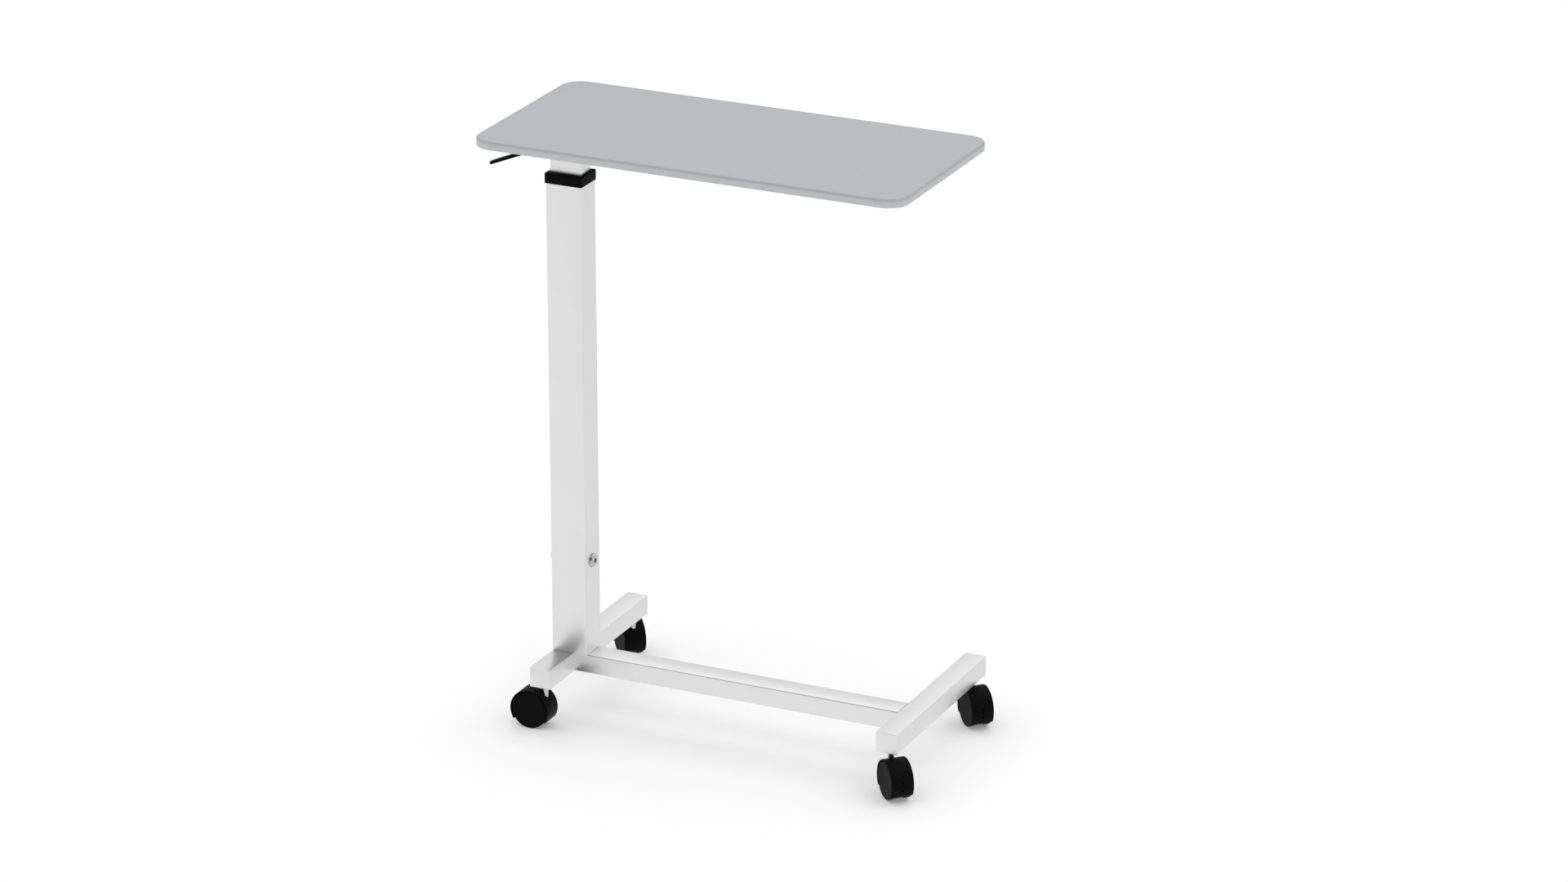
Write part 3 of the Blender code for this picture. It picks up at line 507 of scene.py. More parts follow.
def peel_group():
    """The fine waviness of sprayed or moulded skin, as a height."""
    tree, first, last = shader_group(
        "Skin height",
        [
            ("Vector", "NodeSocketVector", None),
            ("Wave scale", "NodeSocketFloat", 500.0),
            ("Grain scale", "NodeSocketFloat", 2600.0),
            ("Grain share", "NodeSocketFloat", 0.35),
        ],
        [("Height", "NodeSocketFloat")],
    )
    wave = noise(tree, first.outputs["Vector"], first.outputs["Wave scale"], 1.0, (-650, 150))
    grain = noise(tree, first.outputs["Vector"], first.outputs["Grain scale"], 2.0, (-650, -150))
    part = math_node(tree, "MULTIPLY", grain.outputs["Fac"], first.outputs["Grain share"], (-300, -150))
    height = math_node(tree, "ADD", wave.outputs["Fac"], part, (0, 0))
    tree.links.new(height, last.inputs["Height"])
    return tree


def handling_group():
    """A gloss that varies a little where hands and cloths have passed."""
    tree, first, last = shader_group(
        "Handled gloss",
        [
            ("Vector", "NodeSocketVector", None),
            ("Roughness", "NodeSocketFloat", 0.4),
            ("Spread", "NodeSocketFloat", 0.12),
            ("Patch scale", "NodeSocketFloat", 14.0),
        ],
        [("Roughness", "NodeSocketFloat")],
    )
    patch = noise(tree, first.outputs["Vector"], first.outputs["Patch scale"], 4.0, (-650, 0))
    part = math_node(tree, "SUBTRACT", patch.outputs["Fac"], 0.5, (-400, 0))
    part = math_node(tree, "MULTIPLY", part, first.outputs["Spread"], (-200, 0))
    rough = math_node(tree, "ADD", part, first.outputs["Roughness"], (0, 0))
    tree.links.new(rough, last.inputs["Roughness"])
    return tree


def dust_group():
    """Where a little dust settles: on faces that look up, in uneven patches."""
    tree, first, last = shader_group(
        "Settled dust",
        [("Vector", "NodeSocketVector", None), ("Amount", "NodeSocketFloat", 0.05)],
        [("Mask", "NodeSocketFloat")],
    )
    patch = noise(tree, first.outputs["Vector"], 220.0, 3.0, (-650, 150))
    surface = add_node(tree, "ShaderNodeNewGeometry", (-900, -200))
    parts = add_node(tree, "ShaderNodeSeparateXYZ", (-650, -200))
    tree.links.new(surface.outputs["Normal"], parts.inputs["Vector"])
    upward = math_node(tree, "MAXIMUM", parts.outputs["Z"], 0.0, (-400, -200))
    mask = math_node(tree, "MULTIPLY", upward, patch.outputs["Fac"], (-150, 0))
    mask = math_node(tree, "MULTIPLY", mask, first.outputs["Amount"], (100, 0))
    tree.links.new(mask, last.inputs["Mask"])
    return tree


def place_group(tree, group, vector, values, place):
    node = add_node(tree, "ShaderNodeGroup", place)
    node.node_tree = bpy.data.node_groups[group]
    tree.links.new(vector, node.inputs["Vector"])
    for key, value in values.items():
        node.inputs[key].default_value = value
    return node


def toned(tree, base, tone, place):
    """A colour multiplied by a tone that varies over the surface."""
    mix = add_node(tree, "ShaderNodeMix", place, data_type="RGBA", blend_type="MULTIPLY")
    mix.inputs["Factor"].default_value = 1.0
    mix.inputs["A"].default_value = (*base, 1.0)
    tree.links.new(tone, mix.inputs["B"])
    return mix.outputs["Result"]


def blended(tree, mask, under, over, place):
    """A colour laid over a surface's own through a mask."""
    mix = add_node(tree, "ShaderNodeMix", place, data_type="RGBA", blend_type="MIX")
    tree.links.new(mask, mix.inputs["Factor"])
    tree.links.new(under, mix.inputs["A"])
    mix.inputs["B"].default_value = (*over, 1.0)
    return mix.outputs["Result"]


def finish(name, base, fleck, drift, gloss, skin, bump, metallic=0.0, specular=0.5, dust=0.0):
    """A finish: toned colour, uneven gloss and a skin with fine relief. Returns its shader, tree and colour.

    fleck and drift are a scale and a depth, gloss a roughness, its spread and its patches' scale, skin the
    scales of wave and grain and the grain's share, and bump a strength and a distance.
    """
    material = bpy.data.materials.new(FINISH_PREFIX + name)
    material.use_nodes = True
    tree = material.node_tree
    tree.nodes.clear()
    output = add_node(tree, "ShaderNodeOutputMaterial", (900, 0))
    shader = add_node(tree, "ShaderNodeBsdfPrincipled", (600, 0))
    tree.links.new(shader.outputs["BSDF"], output.inputs["Surface"])
    where = add_node(tree, "ShaderNodeTexCoord", (-900, 0)).outputs["Object"]
    flecks = dict(zip(("Fleck scale", "Fleck depth", "Drift scale", "Drift depth"), (*fleck, *drift)))
    tone = place_group(tree, "Fleck tone", where, flecks, (-500, 300))
    painted = toned(tree, base, tone.outputs["Tone"], (-200, 300))
    if dust:
        settled = place_group(tree, "Settled dust", where, {"Amount": dust}, (-200, 520))
        dust_colour = bpy.context.scene.overbed_finishes.dust
        painted = blended(tree, settled.outputs["Mask"], painted, dust_colour, (100, 400))
    tree.links.new(painted, shader.inputs["Base Color"])
    handling = dict(zip(("Roughness", "Spread", "Patch scale"), gloss))
    handled = place_group(tree, "Handled gloss", where, handling, (-500, 0))
    tree.links.new(handled.outputs["Roughness"], shader.inputs["Roughness"])
    waves = dict(zip(("Wave scale", "Grain scale", "Grain share"), skin))
    relief = place_group(tree, "Skin height", where, waves, (-500, -300))
    raised = add_node(tree, "ShaderNodeBump", (200, -300))
    raised.inputs["Strength"].default_value, raised.inputs["Distance"].default_value = bump
    tree.links.new(relief.outputs["Height"], raised.inputs["Height"])
    tree.links.new(raised.outputs["Normal"], shader.inputs["Normal"])
    shader.inputs["Metallic"].default_value = metallic
    shader.inputs["Specular IOR Level"].default_value = specular
    return shader, tree, painted


def make_finishes():
    """Every finish of the table, by its record slot."""
    speckle_group()
    peel_group()
    handling_group()
    dust_group()
    look = bpy.context.scene.overbed_finishes
    make_band_finish(look)
    finish(
        "laminate_grey", look.laminate, fleck=(620.0, 0.16), drift=(5.0, 0.015), gloss=(0.56, 0.10, 9.0),
        skin=(900.0, 3000.0, 0.5), bump=(0.25, 0.00012), specular=0.35,
    )
    finish(
        "silver_paint", look.silver, fleck=(1800.0, 0.08), drift=(7.0, 0.03), gloss=(0.36, 0.10, 11.0),
        skin=(520.0, 2600.0, 0.3), bump=(0.20, 0.00010), metallic=0.95,
    )
    finish(
        "cap_plastic", look.cap, fleck=(1500.0, 0.05), drift=(12.0, 0.03), gloss=(0.40, 0.10, 40.0),
        skin=(900.0, 3200.0, 0.6), bump=(0.20, 0.00010), metallic=0.9,
    )
    finish(
        "black_plastic", look.black, fleck=(1100.0, 0.25), drift=(20.0, 0.10), gloss=(0.46, 0.14, 45.0),
        skin=(1000.0, 3400.0, 0.8), bump=(0.35, 0.00012), specular=0.040, dust=0.004,
    )
    finish(
        "wheel_black", look.wheel, fleck=(1300.0, 0.25), drift=(24.0, 0.12), gloss=(0.52, 0.14, 60.0),
        skin=(1400.0, 3800.0, 0.8), bump=(0.30, 0.00010), specular=0.040, dust=0.003,
    )
    finish(
        "zinc_steel", look.zinc, fleck=(420.0, 0.20), drift=(60.0, 0.10), gloss=(0.30, 0.16, 120.0),
        skin=(800.0, 3000.0, 0.5), bump=(0.18, 0.00008), metallic=1.0,
    )
    finish(
        "dark_steel", look.dark_steel, fleck=(900.0, 0.18), drift=(10.0, 0.08), gloss=(0.44, 0.14, 20.0),
        skin=(700.0, 2400.0, 0.5), bump=(0.30, 0.00012), metallic=0.3, dust=0.02,
    )
    finish(
        "grey_plastic", look.pale_plastic, fleck=(900.0, 0.05), drift=(25.0, 0.05), gloss=(0.5, 0.10, 60.0),
        skin=(1100.0, 3200.0, 0.6), bump=(0.20, 0.00010),
    )


def make_band_finish(look):
    """The edge band: satin plastic, with painted shade that darkens it towards its upper edge under the
    laminate.
    """
    shader, tree, painted = finish(
        "band_grey", look.band, fleck=(900.0, 0.08), drift=(6.0, 0.03), gloss=(0.50, 0.10, 12.0),
        skin=(1000.0, 3000.0, 0.5), bump=(0.20, 0.00010), specular=0.4,
    )
    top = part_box("edge_band")[1].z
    where = add_node(tree, "ShaderNodeTexCoord", (-900, 800))
    parts = add_node(tree, "ShaderNodeSeparateXYZ", (-700, 800))
    tree.links.new(where.outputs["Object"], parts.inputs["Vector"])
    # Painted shade: the band gets darker towards its top, up to the given share
    span = (top - look.painted_arris_shade_start, top - look.painted_arris_shade_end)
    near = ramp(tree, parts.outputs["Z"], span, (0.0, look.painted_arris_shade_share), (-500, 800))
    shaded_band = blended(tree, near, painted, look.painted_arris_shade, (250, 700))
    tree.links.new(shaded_band, shader.inputs["Base Color"])


# Pieces


def tube_piece(name, letter, edge, reach=0.0):
    """A hollow rectangular tube in its node's box: rounded long edges, open ends and a wall."""
    sizes = bpy.context.scene.overbed_sizes
    index = axis_of(letter)
    low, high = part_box(name)
    low[index] -= reach
    high[index] += reach
    obj = add_box(name + "_tube", low, high)
    round_edges_along(obj, letter, edge)
    edit(obj)
    choose(obj, "FACE", lambda face: abs(face.normal[index]) > SQUARE_ON)
    bpy.ops.mesh.delete(type="ONLY_FACE")
    leave()
    only(obj)
    wall = obj.modifiers.new("Wall", "SOLIDIFY")
    wall.thickness = sizes.tube_wall
    wall.offset = -1.0
    wall.use_even_offset = True
    bpy.ops.object.modifier_apply(modifier=wall.name)
    return obj


class OVERBED_OT_base(Operator):
    """Model the two feet, the cross beam and the caps in the feet's ends"""

    bl_idname = "overbed.base"
    bl_label = "Feet and Beam"

    def execute(self, context):
        sizes = context.scene.overbed_sizes
        for side in ("left", "right"):
            foot = tube_piece(f"{side}_foot", "Y", sizes.foot_edge, sizes.gap - sizes.seam)
            for end in ("front", "rear"):
                low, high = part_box(f"caster_{end}_{side}_socket")
                centre = (low + high) / 2
                reach = Vector((0, 0, sizes.tube_wall * 2))
                bottom = Vector((centre.x, centre.y, low.z))
                bore(foot, (high.x - low.x) / 2 + sizes.gap, bottom - reach, bottom + reach, "Z")
                self.cap(sizes, f"{side}_foot_{end}_cap", -1 if end == "front" else 1)
            place_piece(foot, f"{side}_foot", "silver_paint")
        beam = tube_piece("cross_beam", "X", sizes.foot_edge, sizes.gap - sizes.seam)
        place_piece(beam, "cross_beam", "silver_paint")
        return {"FINISHED"}

    def cap(self, sizes, node, sign):
        """A cap: a plate with rounded outer edges, and a plug that goes into the tube."""
        low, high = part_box(node)
        plate_low = low.copy()
        plate_high = high.copy()
        if sign < 0:
            plate_high.y = high.y - sizes.cap_plug
        else:
            plate_low.y = low.y + sizes.cap_plug
        cap = add_box(node + "_plate", plate_low, plate_high)
        round_edges_along(cap, "Y", sizes.foot_edge)
        edit(cap)
        face_y = plate_low.y if sign < 0 else plate_high.y
        choose(cap, "EDGE", lying("Y", face_y))
        bevel(sizes.cap_round, CAP_STEPS)
        choose(cap, "FACE", facing("Y", -sign))
        inset(sizes.tube_wall + sizes.gap)
        push(y=-sign * sizes.cap_plug)
        leave()
        place_piece(cap, node, "cap_plastic")


class OVERBED_OT_column(Operator):
    """Model the outer and inner tubes of the column and the collar that guides them"""

    bl_idname = "overbed.column"
    bl_label = "Column"

    def execute(self, context):
        sizes = context.scene.overbed_sizes
        outer = tube_piece("outer_column", "Z", sizes.column_edge)
        low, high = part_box("cross_bolt")
        middle = (low + high) / 2
        reach = Vector(((high.x - low.x) / 2, 0, 0))
        bore(outer, sizes.bolt_shank + sizes.gap, middle - reach, middle + reach, "X")
        place_piece(outer, "outer_column", "silver_paint")
        inner = tube_piece("inner_column", "Z", sizes.column_edge)
        self.lever_slot(sizes, inner)
        place_piece(inner, "inner_column", "silver_paint")
        self.collar(sizes)
        return {"FINISHED"}

    def lever_slot(self, sizes, inner):
        """The opening in the inner tube's left wall that the lever comes out of."""
        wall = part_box("inner_column")[0].x
        through = sizes.tube_wall * 2
        pivot = middle_of("lever_pivot_pin")
        half_width = sizes.lever_root_width / 2 + sizes.slot_margin
        slot_low = (wall - through, pivot.y - half_width, pivot.z - sizes.slot_below)
        slot_high = (wall + through, pivot.y + half_width, pivot.z + sizes.slot_above)
        combine(inner, add_box("slot", slot_low, slot_high), "DIFFERENCE")

    def collar(self, sizes):
        """A cap with a skirt outside the outer tube and a sleeve inside it, open for the inner tube."""
        low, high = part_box("column_collar")
        column_low, column_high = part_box("outer_column")
        tube_low, tube_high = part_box("inner_column")
        clear = Vector((sizes.gap, sizes.gap, 0))
        seat = column_high.z + sizes.gap
        collar = add_box("column_collar_moulding", (low.x, low.y, seat - sizes.collar_skirt), high)
        round_edges_along(collar, "Z", sizes.column_edge)
        edit(collar)
        choose(collar, "EDGE", lying("Z", high.z))
        bevel(sizes.collar_round, RIM_STEPS)
        leave()
        pocket_low = Vector((column_low.x, column_low.y, low.z)) - clear
        pocket_high = Vector((column_high.x, column_high.y, seat)) + clear
        pocket = add_box("pocket", pocket_low, pocket_high)
        round_edges_along(pocket, "Z", sizes.column_edge)
        combine(collar, pocket, "DIFFERENCE")
        wall = Vector((sizes.tube_wall, sizes.tube_wall, 0)) + clear
        sleeve_low = Vector((column_low.x, column_low.y, low.z)) + wall
        sleeve_high = Vector((column_high.x, column_high.y, high.z - sizes.collar_lid / 2)) - wall
        combine(collar, add_box("sleeve", sleeve_low, sleeve_high), "UNION")
        passage_low = Vector((tube_low.x, tube_low.y, low.z - sizes.collar_lid)) - clear
        passage_high = Vector((tube_high.x, tube_high.y, high.z + sizes.collar_lid)) + clear
        passage = add_box("passage", passage_low, passage_high)
        round_edges_along(passage, "Z", sizes.column_edge)
        combine(collar, passage, "DIFFERENCE")
        place_piece(collar, "column_collar", "black_plastic")


class OVERBED_OT_cross_bolt(Operator):
    """Model the button-head bolt through the column"""

    bl_idname = "overbed.cross_bolt"
    bl_label = "Cross Bolt"

    def execute(self, context):
        sizes = context.scene.overbed_sizes
        low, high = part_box("cross_bolt")
        column_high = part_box("outer_column")[1]
        y = (low.y + high.y) / 2
        z = (low.z + high.z) / 2
        seat = column_high.x + sizes.gap
        radius = (high.z - low.z) / 2
        bolt = add_round("cross_bolt_head", radius, (seat, y, z), (high.x, y, z), "X", sizes.round_steps)
        edit(bolt)
        choose(bolt, "EDGE", lying("X", high.x))
        bevel(sizes.bolt_dome, DOME_STEPS)
        choose(bolt, "FACE", facing("X", -1))
        inset(radius - sizes.bolt_shank)
        push(x=low.x - seat)
        leave()
        depth = Vector((sizes.bolt_socket_depth, 0, 0))
        face = Vector((high.x, y, z))
        socket = add_round("socket", sizes.bolt_socket, face - depth, face + depth, "X", HEX_SIDES)
        combine(bolt, socket, "DIFFERENCE")
        place_piece(bolt, "cross_bolt", "zinc_steel")
        return {"FINISHED"}


class OVERBED_OT_lever(Operator):
    """Model the release lever: a root on its pivot, a bend and a wider, drooping blade"""

    bl_idname = "overbed.lever"
    bl_label = "Release Lever"

    def execute(self, context):
        sizes = context.scene.overbed_sizes
        low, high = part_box("release_lever")
        pin_low, pin_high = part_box("lever_pivot_pin")
        pivot = (pin_low + pin_high) / 2
        root_thickness = 2 * (high.z - pivot.z)
        root_width = sizes.lever_root_width
        centre = Vector((pivot.x - sizes.lever_straight, pivot.y, pivot.z))
        root_low = (centre.x, pivot.y - root_width / 2, pivot.z - root_thickness / 2)
        root_high = (high.x, pivot.y + root_width / 2, high.z)
        lever = add_box("release_lever_blade", root_low, root_high)
        edit(lever)
        choose(lever, "FACE", facing("X", -1))
        steps = sizes.lever_bend_steps + sizes.lever_blade_steps
        wide = (sizes.lever_tip_width / root_width) ** (1 / sizes.lever_bend_steps)
        thick = (sizes.lever_tip_thickness / root_thickness) ** (1 / steps)
        turn = sizes.lever_droop / sizes.lever_bend_steps
        stride = 2 * sizes.lever_bend * math.sin(turn / 2)
        for step in range(sizes.lever_bend_steps):
            centre = self.stretch(centre, turn * (step + 0.5), stride, turn, wide, thick)
        end = low.x + sizes.lever_tip_thickness / 2 * math.sin(sizes.lever_droop)
        stride = (centre.x - end) / math.cos(sizes.lever_droop) / sizes.lever_blade_steps
        for _ in range(sizes.lever_blade_steps):
            centre = self.stretch(centre, sizes.lever_droop, stride, 0.0, 1.0, thick)
        self.round_tip(sizes, lever, centre.x)
        pin_radius = (pin_high.x - pin_low.x) / 2 + sizes.gap
        across = Vector((0, root_width, 0))
        bore(lever, pin_radius, pivot - across, pivot + across, "Y")
        place_piece(lever, "release_lever", "black_plastic")
        return {"FINISHED"}

    def round_tip(self, sizes, lever, tip):
        """Rounds the tip's corners in plan, and then every arris."""

        def corner(edge):
            one, other = (vertex.co for vertex in edge.verts)
            near = max(abs(one.x - tip), abs(other.x - tip)) < sizes.lever_tip_thickness
            return near and abs(one.y - other.y) < sizes.seam

        choose(lever, "EDGE", corner)
        bevel(sizes.lever_tip_corner, TIP_STEPS)
        bpy.ops.mesh.select_all(action="DESELECT")
        bpy.ops.mesh.edges_select_sharp(sharpness=SHARP_ANGLE)
        bevel(sizes.lever_round, RIM_STEPS)
        leave()

    def stretch(self, centre, angle, stride, turn, wide, thick):
        """Extrudes the blade's end face one stride along its droop, turns it and resizes it."""
        move = Vector((-math.cos(angle), 0, -math.sin(angle))) * stride
        push(*move)
        centre = centre + move
        if turn:
            bpy.ops.transform.rotate(value=turn, orient_axis="Y", center_override=centre)
        bpy.ops.transform.resize(value=(thick, wide, thick), center_override=centre)
        return centre


class OVERBED_OT_top(Operator):
    """Model the laminated board and the rounded band round its edge"""

    bl_idname = "overbed.top"
    bl_label = "Top"

    def execute(self, context):
        sizes = context.scene.overbed_sizes
        self.board(sizes)
        self.band(sizes)
        return {"FINISHED"}

    def board(self, sizes):
        low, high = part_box("tabletop_board")
        reach = Vector((sizes.gap - sizes.seam, sizes.gap - sizes.seam, 0))
        board = add_box("tabletop_board_laminate", low - reach, high + reach)
        round_edges_along(board, "Z", sizes.top_corner - sizes.band_thickness - sizes.seam, CORNER_STEPS)
        edit(board)
        choose(board, "EDGE", lying("Z", high.z))
        bevel(sizes.laminate_arris, FINE_STEPS)
        leave()
        for index in range(1, SCREWS + 1):
            screw = f"top_screw_{index}"
            middle = middle_of(screw)
            mouth = (middle.x, middle.y, low.z - sizes.screw_hole)
            tip = (middle.x, middle.y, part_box(screw)[1].z + sizes.gap)
            bore(board, sizes.screw_hole, mouth, tip, "Z", SMALL_HOLE_SIDES)
        place_piece(board, "tabletop_board", "laminate_grey")

    def band(self, sizes):
        """A slab with rounded arrises, opened from both faces and bridged through."""
        low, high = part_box("edge_band")
        band = add_box("edge_band_lipping", low, high)
        round_edges_along(band, "Z", sizes.top_corner, CORNER_STEPS)
        edit(band)
        for level in (low.z, high.z):
            choose(band, "EDGE", lying("Z", level))
            bevel(sizes.band_round, BAND_STEPS)
        for sign in (-1, 1):
            choose(band, "FACE", facing("Z", sign))
            inset(sizes.band_thickness - sizes.band_round)
            bpy.ops.mesh.delete(type="ONLY_FACE")
        choose(band, "EDGE", lambda edge: edge.is_boundary)
        bpy.ops.mesh.bridge_edge_loops()
        bpy.ops.mesh.select_all(action="SELECT")
        bpy.ops.mesh.normals_make_consistent(inside=False)
        leave()
        place_piece(band, "edge_band", "band_grey")


class OVERBED_OT_casters(Operator):
    """Model one hooded twin-wheel caster and copy it to the four corners"""

    bl_idname = "overbed.casters"
    bl_label = "Casters"

    def execute(self, context):
        sizes = context.scene.overbed_sizes
        plan = {corner: self.place(corner) for corner in CORNERS}
        trail = plan["front_left"][1]
        wheel_low, wheel_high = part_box("caster_front_left_wheel_a")
        stem_low, stem_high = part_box("caster_front_left_stem")
        hood_low, hood_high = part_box("caster_front_left_hood")
        swivel_y = (stem_low.y + stem_high.y) / 2
        radius = (wheel_high.z - wheel_low.z) / 2
        faces = sorted(abs(y - swivel_y) for y in (wheel_low.y, wheel_high.y))
        hood = self.hood(sizes, trail, radius, hood_low, hood_high, stem_low, faces[0])
        wheel = self.wheel(sizes, trail, radius, faces[1])
        spin = Matrix.Rotation(math.pi, 4, "Z")
        turned = Matrix.Translation((trail, 0, 0)) @ spin @ Matrix.Translation((-trail, 0, 0))
        for corner, (matrix, _) in plan.items():
            name = f"caster_{corner}"
            piece = copied(hood, f"{name}_hood_moulding", matrix)
            place_piece(piece, f"{name}_hood", "black_plastic")
            for letter in "ab":
                node = f"{name}_wheel_{letter}"
                flip = Matrix.Identity(4) if self.side_of(node, matrix) > 0 else turned
                piece = copied(wheel, f"{node}_disc", matrix @ flip)
                place_piece(piece, node, "wheel_black")
            self.stem(sizes, name)
        bpy.data.objects.remove(hood)
        bpy.data.objects.remove(wheel)
        return {"FINISHED"}

    def place(self, corner):
        """A caster's swivel frame, trailing along its own +X, and how far the wheels trail."""
        stem = middle_of(f"caster_{corner}_stem")
        away = middle_of(f"caster_{corner}_axle") - stem
        heading = math.atan2(away.y, away.x)
        matrix = Matrix.Translation((stem.x, stem.y, 0)) @ Matrix.Rotation(heading, 4, "Z")
        return matrix, math.hypot(away.x, away.y)

    def side_of(self, node, matrix):
        """Which side of its caster a wheel is on, along the caster's own Y."""
        return (matrix.inverted() @ middle_of(node)).y

    def hood(self, sizes, trail, radius, low, high, stem_low, tread_face):
        """A round shell over both wheels, cut off below, with a middle web and a boss for the stem."""
        half = (high.y - low.y) / 2
        outer = high.z - radius
        skirt = radius - outer * math.sin(sizes.hood_skirt)
        hood = add_round(
            "hood", outer, (trail, -half, radius), (trail, half, radius), "Y", sizes.round_steps
        )
        edit(hood)
        for side in (-1, 1):
            choose(hood, "EDGE", lying("Y", side * half))
            bevel(sizes.hood_round, RIM_STEPS)
        for side in (-1, 1):
            choose(hood, "FACE", facing("Y", side))
            inset(sizes.hood_wall - sizes.hood_round)
            push(y=-side * (half - sizes.hood_web / 2))
        bpy.ops.mesh.select_all(action="SELECT")
        bpy.ops.mesh.bisect(plane_co=(0, 0, skirt), plane_no=(0, 0, 1), use_fill=True, clear_inner=True)
        leave()
        combine(hood, self.belly(sizes, trail, radius, tread_face), "UNION")
        boss_low = (0, 0, stem_low.z - sizes.boss_floor)
        boss_high = (0, 0, sizes.boss_top)
        combine(hood, add_round("boss", sizes.hood_boss, boss_low, boss_high, "Z", HOLE_SIDES), "UNION")
        bore(hood, sizes.stem_hole, (0, 0, stem_low.z - sizes.gap), (0, 0, high.z + radius), "Z")
        bore(hood, sizes.axle + sizes.gap, (trail, -half, radius), (trail, half, radius), "Y")
        self.rear_marks(sizes, hood, Vector((trail, 0, radius)), outer)
        return hood

    def rear_marks(self, sizes, hood, axle, outer):
        """Two small holes in the hood's rear, one over the other, and a moulded bar between them."""
        for angle in (sizes.rear_hole_angle, -sizes.rear_hole_angle):
            start()
            bpy.ops.mesh.primitive_cylinder_add(
                vertices=SMALL_HOLE_SIDES, radius=sizes.rear_hole, depth=sizes.rear_hole * 4
            )
            hole = bpy.context.active_object
            hole.location = axle + Vector((math.cos(angle), 0, math.sin(angle))) * outer
            hole.rotation_euler = (0, math.pi / 2 - angle, 0)
            combine(hood, settle(hole), "DIFFERENCE")
        back = axle + Vector((outer, 0, 0))
        reach = Vector((sizes.rear_bar_rise, sizes.rear_bar_length / 2, sizes.rear_bar_height / 2))
        sunk = Vector((sizes.hood_wall / 2, reach.y, reach.z))
        combine(hood, add_box("bar", back - sunk, back + reach), "UNION")

    def belly(self, sizes, trail, radius, tread_face):
        """The hood's middle, which fills the space between the treads, with a well for each hub."""
        half = tread_face - sizes.belly_gap
        size = radius - sizes.belly_depth
        belly = add_round(
            "belly", size, (trail, -half, radius), (trail, half, radius), "Y", sizes.round_steps
        )
        edit(belly)
        for side in (-1, 1):
            choose(belly, "FACE", facing("Y", side))
            inset(size - sizes.hub_well)
            push(y=-side * (half - sizes.hood_web / 4))
        leave()
        return belly

    def wheel(self, sizes, trail, radius, outer):
        """A cup wheel: a shallow dished disc outside, a tread ring and a hub inside."""
        hub_inner = sizes.hood_web / 2 + sizes.hub_gap
        inner = hub_inner + sizes.hub_step
        wheel = add_round(
            "wheel", radius, (trail, inner, radius), (trail, outer, radius), "Y", sizes.round_steps
        )
        edit(wheel)
        choose(wheel, "EDGE", lying("Y", outer))
        bevel(sizes.wheel_round, RIM_STEPS)
        choose(wheel, "EDGE", lying("Y", inner))
        bevel(sizes.wheel_round / 2, CAP_STEPS)
        choose(wheel, "FACE", facing("Y", 1))
        inset(sizes.wheel_flange)
        inset(sizes.wheel_dish_run)
        bpy.ops.transform.translate(value=(0, -sizes.wheel_dish, 0))
        choose(wheel, "FACE", facing("Y", -1))
        disc_inside = outer - sizes.wheel_disc
        inset(sizes.wheel_tread - sizes.wheel_round / 2)
        push(y=disc_inside - inner)
        inset(radius - sizes.wheel_tread - sizes.wheel_hub)
        push(y=hub_inner - disc_inside)
        inset(sizes.wheel_hub - sizes.axle - sizes.gap)
        push(y=outer - sizes.axle_floor - hub_inner)
        leave()
        return wheel

    def stem(self, sizes, name):
        node = f"{name}_stem"
        low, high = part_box(node)
        middle = (low + high) / 2
        radius = (high.x - low.x) / 2
        stem = add_round(
            f"{node}_pin", radius, (middle.x, middle.y, low.z), (middle.x, middle.y, high.z), "Z", HOLE_SIDES
        )
        edit(stem)
        for level in (low.z, high.z):
            choose(stem, "EDGE", lying("Z", level))
            bevel(sizes.stem_round, FINE_STEPS)
        leave()
        place_piece(stem, node, "zinc_steel")


class OVERBED_OT_works(Operator):
    """Finish the works that stay as the frame has them: gas spring, bracket, plate, rails and fasteners"""

    bl_idname = "overbed.works"
    bl_label = "Works"

    def execute(self, context):
        for entry in frame["record"]["subparts"]:
            node = frame["nodes"][entry["node"]]
            if node.hide_render:
                continue
            node.data.materials.clear()
            node.data.materials.append(finish_of(entry["material_slot"]))
        return {"FINISHED"}


class OVERBED_OT_finishes(Operator):
    """Make the finishes that the pieces share"""

    bl_idname = "overbed.finishes"
    bl_label = "Finishes"

    def execute(self, context):
        make_finishes()
        return {"FINISHED"}


